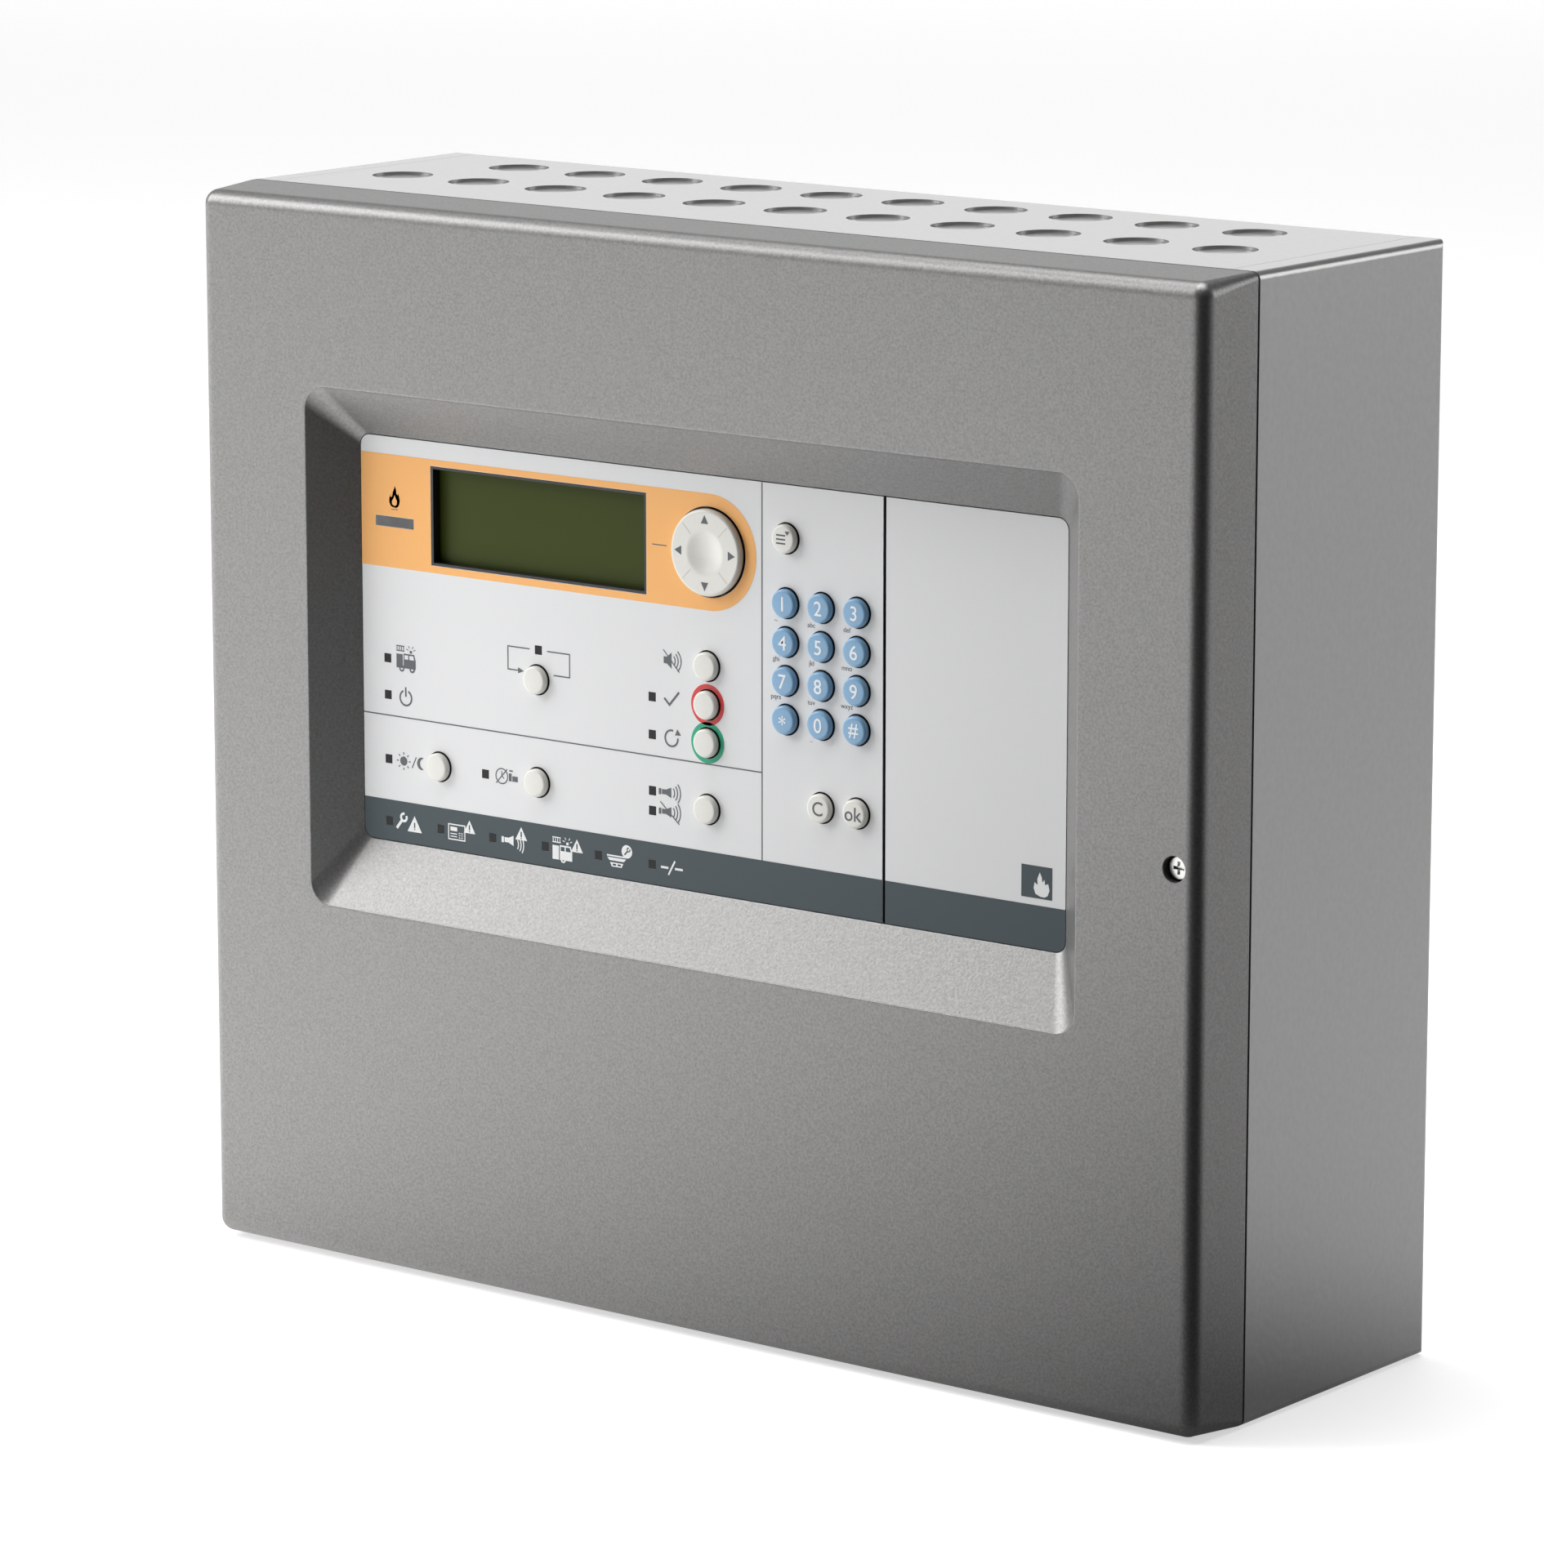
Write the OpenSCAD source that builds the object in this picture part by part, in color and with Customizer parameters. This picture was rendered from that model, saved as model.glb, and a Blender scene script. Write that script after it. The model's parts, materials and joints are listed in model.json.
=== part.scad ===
// Wall-mounted control panel: a folded steel back box with a hinged, moulded front cover.
// Frame: origin at the middle of the rear face, X to the right, Y into the wall, Z up, millimetres.

/* [Cabinet] */
// Width of the cabinet
cab_w = 404; // [400:1:490]
// Height of the cabinet
cab_h = 357; // [345:1:430]
// Depth from the wall to the front face
cab_d = 129; // [125:1:160]
// Thickness of the steel sheet
sheet = 1.5; // [1:0.1:1.8]
// Outer radius of the folded edges of the box
fold_r = 2.5; // [2:0.1:4]
// Width of the side flanges that fold over the top
top_flange = 10.5; // [8:0.5:14]
// Width of the flanges that frame the open front of the box
front_flange = 16; // [15.5:0.5:17]
// Gap between the box and the closed cover
seam = 0.8; // [0.75:0.05:1.2]

/* [Top plate] */
// Number of knock-outs in the front row; the rear row has one less
knock_n = 11; // [3:1:11]
// Spacing of the knock-outs along a row
knock_pitch = 33.2; // [26:0.1:34]
// Diameter of a knock-out's hole
knock_d = 20.4; // [16:0.1:24]
// Distance of the front row from the wall
knock_front_y = 63.5; // [50:0.5:75]
// Distance of the rear row from the wall
knock_rear_y = 23; // [18:0.5:30]
// Middle of the rows, to the right of the middle of the cabinet
knock_x = -3; // [-4:0.5:4]
// Gap around a knock-out disc
knock_gap = 0.4; // [0.2:0.1:0.8]
// How far a disc is pressed in, as a share of the sheet's thickness
knock_press = 0.7; // [0.2:0.05:0.8]

/* [Back wall] */
// Distance between the wall screws from side to side
wall_screw_w = 220; // [200:1:230]
// Distance between the wall screws from top to bottom
wall_screw_h = 208; // [202:1:212]
// Height of the middle of the wall screws above the middle of the cabinet
wall_screw_z = 36; // [34:0.5:38]
// Diameter of a wall screw's hole
wall_screw_d = 6.5; // [4:0.1:8]
// Width of the cable slot
slot_w = 176; // [60:1:190]
// Height of the cable slot
slot_h = 42; // [20:1:50]
// Distance of the cable slot's middle below the top
slot_down = 40.5; // [38:0.5:50]

/* [Cover] */
// Depth of the cover
cover_d = 26; // [24:0.5:32]
// Thickness of the cover's walls
cover_t = 2.2; // [1.8:0.1:2.4]
// Radius of the cover's front edges
cover_r = 5; // [3:0.5:6]
// Radius of the cover's corners at its rear edge
cover_corner_r = 2.5; // [2.4:0.1:4]
// How far the cover's sides lean in by the front
cover_draft = 0.8; // [0:0.1:1]

/* [Panel recess] */
// Width of the opening for the panel
panel_w = 286; // [284:0.2:290]
// Height of the opening for the panel
panel_h = 135.6; // [134:0.2:150]
// Height of the panel's middle above the middle of the cabinet
panel_z = 32.4; // [25:0.1:40]
// Depth of the panel below the front face
recess_depth = 13; // [10:0.5:14]
// Width of the sloping walls at the sides
recess_side = 12.5; // [8:0.5:15]
// Height of the sloping wall at the top
recess_top = 16.1; // [10:0.1:20]
// Height of the sloping wall at the bottom
recess_bottom = 21.7; // [10:0.1:24]
// Corner radius of the recess at the front face
recess_outer_r = 8; // [5:0.5:12]
// Corner radius of the panel's opening
recess_inner_r = 4; // [2:0.5:6]

/* [Panel plates] */
// Thickness of the panel plates
plate_t = 2; // [1.6:0.1:2.2]
// Gap around the plates in the cover's opening
plate_gap = 0.3; // [0.15:0.05:0.5]
// Place of the split between the operating plate and the blank plate
split_x = 72.9; // [71:0.1:90]
// Width of that split
split_gap = 1.2; // [0.4:0.1:2]
// How far the flange behind a plate reaches past the opening
plate_lap = 2.5; // [1.5:0.1:3]
// Thickness of that flange
lap_t = 1.5; // [1:0.1:2]

/* [Buttons] */
// Diameter of a button's cap
key_d = 9.3; // [8:0.1:9.8]
// Gap between a cap and its hole
key_gap = 0.5; // [0.2:0.05:0.6]
// Height of a cap above the plate
key_rise = 2.3; // [1.5:0.1:3]
// Height of the rounded top edge of a cap
key_edge_r = 0.9; // [0.4:0.1:1.2]
// Travel of a button
key_travel = 1; // [0.5:0.1:1]
// How far the collar behind the plate is wider than the cap, all round
key_collar = 1.1; // [0.9:0.05:1.2]
// First keypad column, to the right of the panel's middle
keypad_x = 34.4; // [33:0.1:35]
// First keypad row, above the panel's middle
keypad_z = 30; // [28:0.1:34]
// Spacing of the keypad's columns
key_pitch_x = 14.05; // [12:0.05:14.3]
// Spacing of the keypad's rows
key_pitch_z = 12.4; // [12:0.1:13]

/* [Navigation pad] */
// Diameter of the pad
nav_d = 28; // [24:0.1:29]
// Gap between the pad and its hole
nav_gap = 0.6; // [0.35:0.05:0.7]
// Height of the pad above the plate
nav_rise = 2.4; // [1.5:0.1:3]
// Middle of the pad, to the right of the panel's middle
nav_x = 3.4; // [2:0.1:5]
// Middle of the pad, above the panel's middle
nav_z = 43; // [41:0.1:45]
// Depth of the dish in the middle of the pad
nav_dish = 1.1; // [0.4:0.1:1.4]

/* [Display] */
// Width of the display opening
lcd_w = 90.4; // [80:0.1:92]
// Height of the display opening
lcd_h = 32.8; // [28:0.1:36]
// Middle of the display, to the right of the panel's middle
lcd_x = -67.4; // [-70:0.1:-66]
// Middle of the display, above the panel's middle
lcd_z = 43.1; // [42:0.1:46]
// Depth of the glass below the plate's face
lcd_depth = 3.5; // [3.3:0.1:4.6]
// Wall of the dark shroud around the display
shroud_t = 0.8; // [0.6:0.1:1.6]

/* [Indicators] */
// Side of a square indicator window
led_size = 3; // [2:0.1:3.5]
// Spacing of the indicators in the dark band
band_led_pitch = 22.36; // [20:0.1:23]
// Width of the alarm light bar
bar_w = 16.4; // [10:0.1:18]
// Height of the alarm light bar
bar_h = 3.4; // [2:0.1:5]

/* [Cover screw] */
// Diameter of the screw's shank
screw_d = 4; // [3:0.1:4.5]
// Diameter of the screw's head
screw_head_d = 6.8; // [6:0.1:7.4]
// Height of the screw's head
screw_head_h = 2.2; // [1.6:0.1:2.8]
// Depth of the head's face below the cover's front face
screw_sink = 2.6; // [1.5:0.1:3]
// Diameter of the well around the head
well_d = 8.1; // [7.8:0.1:9]
// Distance of the screw from the cabinet's right side
screw_in = 10.2; // [10:0.1:11]
// Travel of the screw into its nut
screw_travel = 2.5; // [1:0.1:3]

/* [Hinge] */
// Distance of the pin's axis from the cabinet's left side
hinge_in = 4.4; // [4.3:0.05:4.5]
// Distance of the pin's axis in front of the cover's rear edge
hinge_fwd = 16; // [15.5:0.1:17]
// Height of each hinge above and below the middle
hinge_z = 120; // [100:1:150]
// Diameter of a hinge pin
pin_d = 3; // [2.5:0.1:3]
// Height of a bracket's knuckle
knuckle_h = 12; // [8:0.5:20]
// Height of each of the cover's bosses beside it
boss_h = 6; // [4:0.5:10]
// Running clearance of the pin in the cover's bosses
pin_clear = 0.06; // [0.03:0.01:0.1]

/* [Inside] */
// Width of a battery
battery_w = 151; // [90:1:151]
// Depth of a battery
battery_d = 65; // [50:1:70]
// Height of a battery's case
battery_h = 94; // [70:1:98]
// Width of the power supply
psu_w = 74; // [50:1:76]
// Height of the power supply
psu_h = 160; // [120:1:164]
// Depth of the power supply
psu_d = 42; // [30:1:50]
// Width of the main board
board_w = 290; // [240:1:292]
// Height of the main board
board_h = 140; // [120:1:142]
// Height of the spacers behind the main board
standoff_h = 12; // [6:0.5:16]

/* [Hidden] */
$fn = 64;

// Colours
box_grey = [0.50, 0.49, 0.48];
cover_grey = [0.56, 0.55, 0.54];
panel_white = [0.89, 0.89, 0.90];
cap_white = [0.88, 0.87, 0.83];
key_blue = [0.45, 0.63, 0.80];
black = [0.07, 0.07, 0.08];
dark_lens = [0.12, 0.13, 0.14];
lcd_green = [0.26, 0.32, 0.15];
board_green = [0.08, 0.34, 0.20];
zinc = [0.76, 0.76, 0.74];
brass = [0.80, 0.66, 0.36];
terminal_green = [0.16, 0.48, 0.28];
battery_grey = [0.22, 0.23, 0.25];
rubber_grey = [0.62, 0.62, 0.60];

// A little extra so that cuts run clear of the faces they open
over = 1;
// Gap left between pieces that only lie beside each other
fit = 0.2;

half_w = cab_w / 2;
half_h = cab_h / 2;
front_y = -cab_d;
cover_back_y = front_y + cover_d;
box_front_y = cover_back_y + seam;
rear_in_y = -sheet;
floor_z = -half_h + sheet;

// Panel recess
panel_y = front_y + recess_depth;
plate_back_y = panel_y + plate_t;
outer_w = panel_w + 2 * recess_side;
outer_h = panel_h + recess_top + recess_bottom;
outer_z = panel_z + (recess_top - recess_bottom) / 2;
// The recess's wall behind the sloping faces, and the rim that the plates' flanges lie against
recess_wall = 2.6;
rim = plate_lap + 0.5;

// Operating panel, counted from the middle of the panel
left_x = -panel_w / 2 + plate_gap;
right_x = panel_w / 2 - plate_gap;
plate_end_x = split_x - split_gap / 2;
blank_start_x = split_x + split_gap / 2;
key_column = 2.7;
loop_x = -67.8;
day_x = -109.9;
silence_z = 6.3;
acknowledge_z = -6.2;
reset_z = -18.5;
lower_z = -40.1;
menu_z = 50.6;
clear_z = -33.8;
keypad_columns = [for (i = [0:2]) keypad_x + i * key_pitch_x];
keypad_rows = [for (i = [0:3]) keypad_z - i * key_pitch_z];
keypad_places = [for (z = keypad_rows) for (x = keypad_columns) [x, z]];
button_places = [
    [keypad_columns[0], menu_z], [keypad_columns[1], clear_z], [keypad_columns[2], clear_z],
    [loop_x, acknowledge_z], [key_column, silence_z], [key_column, acknowledge_z],
    [key_column, reset_z], [day_x, lower_z], [loop_x, lower_z], [key_column, lower_z]
];
led_left_x = -132;
led_mid_x = -20;
led_places = concat(
    [
        [led_left_x, acknowledge_z], [led_left_x, reset_z], [led_left_x, lower_z],
        [loop_x + 0.5, 3.6], [led_mid_x, acknowledge_z], [led_mid_x, reset_z],
        [loop_x - 22.4, lower_z], [led_mid_x, lower_z + 3.25], [led_mid_x, lower_z - 3.25]
    ],
    [for (i = [0:5]) [led_left_x + i * band_led_pitch, -61]]
);
bar_x = -128.3;
bar_z = 39.4;

// Stack behind the plate
key_face_y = panel_y - key_rise;
collar_y = plate_back_y + 0.1;
collar_t = 0.95;
mat_t = 0.8;
dome_h = 0.5;
mat_y = collar_y + collar_t + key_travel + dome_h + 0.35;
board_y = mat_y + mat_t + 0.3;
board_t = 1.6;
board_back_y = board_y + board_t;
glass_y = panel_y + lcd_depth;
glass_t = 1.1;
module_y = glass_y + glass_t;
module_t = 3.2;
boss_r = 2.2;
boss_places = [
    [left_x + 4, 20], [left_x + 4, -30], [-14, panel_h / 2 - 6.2], [-44, -52.5],
    [plate_end_x - 3, 56], [plate_end_x - 3, -50]
];
small_screw_r = 1.1;
small_head_r = 2.2;
small_head_h = 1.6;
nav_pivot_y = mat_y - 1.5;
nav_rim = 1.4;
nav_rim_t = 0.8;
ball_r = 1.3;

// Cover screw
screw_x = half_w - screw_in;
head_face_y = front_y + screw_sink;
head_seat_y = head_face_y + screw_head_h;
well_floor_y = head_seat_y + screw_travel;
well_floor_t = 1.5;
well_wall = 1.9;
retainer_t = 0.8;
screw_tip_y = box_front_y + 0.8;
screw_clear = 0.15;
nut_hole_r = screw_d / 2 + 0.9;
nut_d = 10;
nut_t = 4;

// Hinge
pin_x = -half_w + hinge_in;
pin_y = cover_back_y - hinge_fwd;
pin_r = pin_d / 2;
knuckle_r = pin_r + 1.1;
boss_outer_r = pin_r + 1.5;
knuckle_gap = 0.3;
arm_t = 2;
arm_x = pin_x + sqrt(hinge_in * hinge_in + hinge_fwd * hinge_fwd) + 0.6;
foot_y = box_front_y + sheet;

// Inside of the box
side_gap = 5;
battery_gap = 3;
battery_y = rear_in_y - 8;
battery_left_x = -half_w + sheet + side_gap;
battery_right_x = battery_left_x + battery_w + battery_gap;
blade_w = 6.3;
blade_h = 6;
blade_t = 0.8;
psu_x = half_w - sheet - side_gap - psu_w;
psu_z = floor_z + 6;
psu_wall = 1.2;
main_x = -half_w + 12;
main_z = -52;
main_y = rear_in_y - standoff_h;
main_face_y = main_y - board_t;
main_inset = 6;
main_screws = [
    for (x = [main_inset, board_w / 2, board_w - main_inset]) for (z = [main_inset, board_h - main_inset])
        [main_x + x, main_z + z]
];

// ---------------------------------------------------------------- shared shapes

// A flat outline in X and Z, made solid from y0 back to y1
module slab(y0, y1) {
    translate([0, y1, 0]) rotate([90, 0, 0]) linear_extrude(y1 - y0) children();
}

module round_rect(w, h, r) {
    square([w - 2 * r, h], center = true);
    square([w, h - 2 * r], center = true);
    for (x = [-1, 1]) for (z = [-1, 1]) translate([x * (w / 2 - r), z * (h / 2 - r)]) circle(r);
}

// A box between two corners
module block(low, high) {
    translate(low) cube(high - low);
}

module screw_with_head(x, z, y_head, y_tip, r, head_r, head_h) {
    slab(y_head, y_head + head_h) translate([x, z]) circle(head_r);
    slab(y_head + head_h, y_tip) translate([x, z]) circle(r);
}

// ---------------------------------------------------------------- back box

// The box's outline: folds run down its rear edges and along the edges between sides, top and bottom
module box_form(inset, r) {
    w = cab_w - 2 * inset;
    h = cab_h - 2 * inset;
    y0 = box_front_y + inset;
    intersection() {
        slab(y0, -inset) round_rect(w, h, r);
        translate([0, 0, -h / 2]) linear_extrude(h) difference() {
            translate([-w / 2, y0]) square([w, -inset - y0]);
            for (s = [-1, 1]) translate([s * w / 2, -inset]) rear_corner(s, r);
        }
    }
}

// What a fold takes off a square corner
module rear_corner(s, r) {
    difference() {
        square(2 * r, center = true);
        translate([-s * r, -r]) circle(r);
        translate([-s * 2 * r, -2 * r]) square([4 * r, 2 * r], center = true);
        translate([-s * 2 * r, 0]) square([2 * r, 8 * r], center = true);
    }
}

module back_box() {
    front_w = cab_w - 2 * front_flange;
    top_w = cab_w - 2 * top_flange;
    color(box_grey) difference() {
        box_form(0, fold_r);
        box_form(sheet, fold_r - sheet);
        // Open front inside its flanges, and open at the top front
        block([-front_w / 2, box_front_y - over, -half_h + front_flange],
              [front_w / 2, box_front_y + sheet + over, half_h + over]);
        // Place of the top plate
        block([-top_w / 2, box_front_y - over, half_h - sheet], [top_w / 2, over, half_h + over]);
        // Cable slot and wall screws
        slab(-sheet - over, over) translate([0, half_h - slot_down]) round_rect(slot_w, slot_h, 4);
        slab(-sheet - over, over) wall_screw_places() circle(wall_screw_d / 2);
        // The cover screw passes through the right flange
        slab(box_front_y - over, box_front_y + sheet + over) translate([screw_x, 0]) circle(nut_hole_r);
        // The earth stud
        slab(-sheet - over, over) translate([stud_x, stud_z]) circle(stud_r);
    }
}

module wall_screw_places() {
    for (x = [-1, 1]) for (z = [-1, 1])
        translate([x * wall_screw_w / 2, wall_screw_z + z * wall_screw_h / 2]) children();
}

module top_plate() {
    w = cab_w - 2 * top_flange - 2 * fit;
    inner_w = cab_w - 2 * fold_r - 2 * fit;
    z = half_h - sheet;
    lip = front_flange - sheet;
    strip = top_flange + 3;
    lip_w = cab_w - 2 * front_flange - 2 * fit;
    color(box_grey) difference() {
        union() {
            block([-w / 2, box_front_y, z], [w / 2, -fit, half_h]);
            // Strips below the side flanges, where the plate is spot welded to them
            for (s = [-1, 1]) translate([s * (inner_w - strip) / 2, (box_front_y + rear_in_y) / 2, z - sheet / 2])
                cube([strip, rear_in_y - box_front_y - 2 * sheet - 2 * fit, sheet], center = true);
            // Folded lip behind the cover's top edge
            block([-lip_w / 2, box_front_y, z - lip], [lip_w / 2, box_front_y + sheet, half_h]);
        }
        translate([0, 0, z - over]) linear_extrude(sheet + 2 * over) knock_places() circle(knock_d / 2);
    }
}

module knock_places() {
    first = knock_x - (knock_n - 1) / 2 * knock_pitch;
    for (i = [0:knock_n - 1]) translate([first + i * knock_pitch, -knock_front_y]) children();
    for (i = [0:knock_n - 2]) translate([first + (i + 0.5) * knock_pitch, -knock_rear_y]) children();
}

// Discs that break out of the plate, each on two short webs
module knockout_discs() {
    web = 2;
    disc_t = 1;
    color(box_grey) translate([0, 0, half_h - knock_press * sheet - disc_t]) linear_extrude(disc_t) knock_places() {
        circle(knock_d / 2 - knock_gap);
        square([knock_d - 0.1, web], center = true);
    }
}

// ---------------------------------------------------------------- hinge

// Goose-neck brackets, screwed behind the left flange, reach round the cover's edge to the pins
module hinge_brackets() {
    neck_y = pin_y - knuckle_r;
    color(zinc) for (s = [-1, 1]) translate([0, 0, s * hinge_z - knuckle_h / 2]) difference() {
        union() {
            translate([pin_x, pin_y, 0]) cylinder(r = knuckle_r, h = knuckle_h);
            block([pin_x, neck_y, 0], [arm_x + arm_t, neck_y + arm_t, knuckle_h]);
            block([arm_x, neck_y, 0], [arm_x + arm_t, foot_y + arm_t, knuckle_h]);
            block([-half_w + sheet + fit, foot_y, 0], [arm_x + arm_t, foot_y + arm_t, knuckle_h]);
        }
        translate([pin_x, pin_y, -over]) cylinder(r = pin_r, h = knuckle_h + 2 * over);
    }
}

module hinge_pins() {
    length = knuckle_h + 2 * knuckle_gap + 2 * boss_h - 1;
    color(zinc) for (s = [-1, 1]) translate([pin_x, pin_y, s * hinge_z - length / 2])
        cylinder(r = pin_r, h = length);
}

module lock_nut() {
    color(zinc) slab(foot_y, foot_y + nut_t) translate([screw_x, 0]) difference() {
        circle(nut_d / 2, $fn = 6);
        circle(screw_d / 2 + pin_clear);
    }
}

// ---------------------------------------------------------------- front cover

module cover_form(inset, r, y_back) {
    lean = cover_draft * cover_d / (cover_d - cover_r);
    rear_r = cover_corner_r - inset;
    hull() {
        for (x = [-1, 1]) for (z = [-1, 1]) {
            translate([x * (half_w - lean - inset - r), front_y + inset + r, z * (half_h - lean - inset - r)])
                sphere(r, $fn = 32);
            slab(y_back - 0.5, y_back)
                translate([x * (half_w - inset - rear_r), z * (half_h - inset - rear_r)]) circle(rear_r, $fn = 24);
        }
    }
}

module recess_outline(grow) {
    translate([0, outer_z]) round_rect(outer_w + 2 * grow, outer_h + 2 * grow, recess_outer_r, $fn = 32);
}

module panel_outline(grow, r) {
    translate([0, panel_z]) round_rect(panel_w + 2 * grow, panel_h + 2 * grow, r, $fn = 32);
}

module front_cover() {
    lens = 0.01;
    color(cover_grey) difference() {
        union() {
            difference() {
                cover_form(0, cover_r, cover_back_y);
                cover_form(cover_t, cover_r - cover_t, cover_back_y + over);
            }
            // Wall of the recess
            hull() {
                slab(front_y + lens, front_y + 2 * lens) recess_outline(recess_wall);
                slab(plate_back_y - lens, plate_back_y) panel_outline(rim, recess_inner_r + rim);
            }
            hinge_bosses();
            // Well of the cover screw
            slab(front_y + cover_t / 2, well_floor_y + well_floor_t)
                translate([screw_x, 0]) circle(well_d / 2 + well_wall);
        }
        hull() {
            slab(front_y - lens, front_y) recess_outline(0);
            slab(panel_y - lens, panel_y) panel_outline(0, recess_inner_r);
        }
        slab(panel_y - over, plate_back_y + over) panel_outline(0, recess_inner_r);
        slab(front_y - over, well_floor_y) translate([screw_x, 0]) circle(well_d / 2);
        slab(front_y - over, well_floor_y + well_floor_t + over)
            translate([screw_x, 0]) circle(screw_d / 2 + screw_clear);
        // Bores of the hinge pins, and room for the knuckles
        for (s = [-1, 1]) translate([pin_x, pin_y, s * hinge_z]) {
            cylinder(r = pin_r + pin_clear, h = knuckle_h + 2 * (boss_h + knuckle_gap) - 0.6, center = true);
            cylinder(r = knuckle_r + knuckle_gap, h = knuckle_h + 2 * knuckle_gap, center = true);
        }
    }
}

module hinge_bosses() {
    rib = 2.4;
    for (s = [-1, 1]) for (e = [-1, 1])
        translate([pin_x, pin_y, s * hinge_z + e * (knuckle_h / 2 + knuckle_gap + boss_h / 2)]) {
            cylinder(r = boss_outer_r, h = boss_h, center = true);
            translate([0, (front_y + cover_t / 2 - pin_y) / 2, 0])
                cube([rib, pin_y - front_y - cover_t / 2, boss_h], center = true);
        }
}

// ---------------------------------------------------------------- panel plates

// One stretch of the panel, flat at the front, with a flange behind the cover's rim
module panel_stretch(x0, x1, lap0, lap1) {
    height = panel_h + 2 * rim;
    slab(panel_y, plate_back_y) intersection() {
        panel_outline(-plate_gap, recess_inner_r - plate_gap);
        translate([x0, panel_z - height / 2]) square([x1 - x0, height]);
    }
    slab(plate_back_y, plate_back_y + lap_t) difference() {
        intersection() {
            panel_outline(plate_lap, recess_inner_r + plate_lap);
            translate([x0 - lap0, panel_z - height / 2]) square([x1 - x0 + lap0 + lap1, height]);
        }
        panel_outline(-plate_lap + 0.5, recess_inner_r);
    }
}

module panel_plate() {
    color(panel_white) difference() {
        union() {
            panel_stretch(left_x, plate_end_x, 2 * plate_lap, 0);
            slab(plate_back_y, board_y) on_panel(boss_places) circle(boss_r);
        }
        slab(panel_y - over, plate_back_y + over) {
            translate([lcd_x, panel_z + lcd_z]) square([lcd_w, lcd_h], center = true);
            translate([bar_x, panel_z + bar_z]) square([bar_w, bar_h], center = true);
        }
        slab(panel_y - over, plate_back_y + over) on_panel(concat(keypad_places, button_places))
            circle(key_d / 2 + key_gap);
        slab(panel_y - over, plate_back_y + over) on_panel([[nav_x, nav_z]]) circle(nav_d / 2 + nav_gap);
        slab(panel_y - over, plate_back_y + over) on_panel(led_places) square(led_size, center = true);
        slab(board_y - 4, board_y + over) on_panel(boss_places) circle(small_screw_r);
    }
}

module on_panel(places) {
    for (p = places) translate([p[0], panel_z + p[1]]) children();
}

module blank_plate() {
    color(panel_white) panel_stretch(blank_start_x, right_x, 0, 2 * plate_lap);
}

// Tinted light guides of the indicators, flush with the plate
module light_windows() {
    color(dark_lens) slab(panel_y, plate_back_y + 0.6) on_panel(led_places)
        square(led_size - 0.1, center = true);
}

module alarm_light_bar() {
    color(dark_lens) slab(panel_y, plate_back_y + 1) on_panel([[bar_x, bar_z]])
        square([bar_w - 0.1, bar_h - 0.1], center = true);
}

// ---------------------------------------------------------------- display

module lcd_frame() {
    w = lcd_w - fit;
    h = lcd_h - fit;
    color(black) on_display() difference() {
        union() {
            slab(panel_y + 0.1, glass_y) square([w, h], center = true);
            slab(plate_back_y, glass_y) square([w + 4, h + 4], center = true);
        }
        slab(panel_y - over, glass_y + over) square([w - 2 * shroud_t, h - 2 * shroud_t], center = true);
    }
}

module on_display() {
    translate([lcd_x, 0, panel_z + lcd_z]) children();
}

module lcd_glass() {
    color(lcd_green) on_display() slab(glass_y, module_y) square([lcd_w + 1, lcd_h + 1], center = true);
}

module lcd_module() {
    color(zinc) on_display() slab(module_y, module_y + module_t) square([lcd_w + 5, lcd_h + 5], center = true);
}

// ---------------------------------------------------------------- operating unit

// Rubber mat with a dome below each button
module key_mat() {
    low = -47;
    mid_x = -17;
    color(rubber_grey) {
        slab(mat_y, mat_y + mat_t) difference() {
            translate([0, panel_z]) {
                translate([day_x - 7, low]) square([mid_x - day_x + 7, 14 - low]);
                translate([mid_x, low]) square([keypad_columns[2] + 3.4 - mid_x, 59 - low]);
            }
            on_panel([[nav_x, nav_z]]) circle(ball_r + 0.6);
        }
        slab(mat_y - dome_h, mat_y) on_panel(concat(keypad_places, button_places)) circle(3);
    }
}

module operating_board() {
    w = plate_end_x - left_x - 3;
    h = panel_h - 8;
    color(board_green) difference() {
        union() {
            slab(board_y, board_back_y) translate([(left_x + plate_end_x) / 2, panel_z])
                square([w, h], center = true);
            // Ribbon socket and two chips on the rear face
            slab(board_back_y, board_back_y + 5) on_panel([[socket_x, socket_z]]) square([6, ribbon_w + 4], center = true);
            slab(board_back_y, board_back_y + 1.4) on_panel([[-60, -20], [30, 0]]) square([14, 14], center = true);
        }
        slab(board_y - over, board_back_y + over) on_panel([[lcd_x, lcd_z]])
            square([lcd_w + 6, lcd_h + 6], center = true);
        slab(board_y - over, board_back_y + over) on_panel(boss_places) circle(small_screw_r + 0.1);
        slab(board_y - over, board_back_y + over) on_panel([[nav_x, nav_z]]) circle(ball_r + 0.6);
    }
}

module operating_board_screws() {
    color(zinc) for (p = boss_places) {
        slab(board_back_y, board_back_y + small_head_h) translate([p[0], panel_z + p[1]]) circle(small_head_r);
        slab(board_y - 3.5, board_back_y) translate([p[0], panel_z + p[1]]) circle(small_screw_r);
    }
}

module buzzer() {
    color(black) difference() {
        slab(board_back_y, board_back_y + 6) on_panel([[buzzer_x, buzzer_z]]) circle(6);
        slab(board_back_y + 5, board_back_y + 6 + over) on_panel([[buzzer_x, buzzer_z]]) circle(1.2);
    }
}

// ---------------------------------------------------------------- buttons

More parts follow.
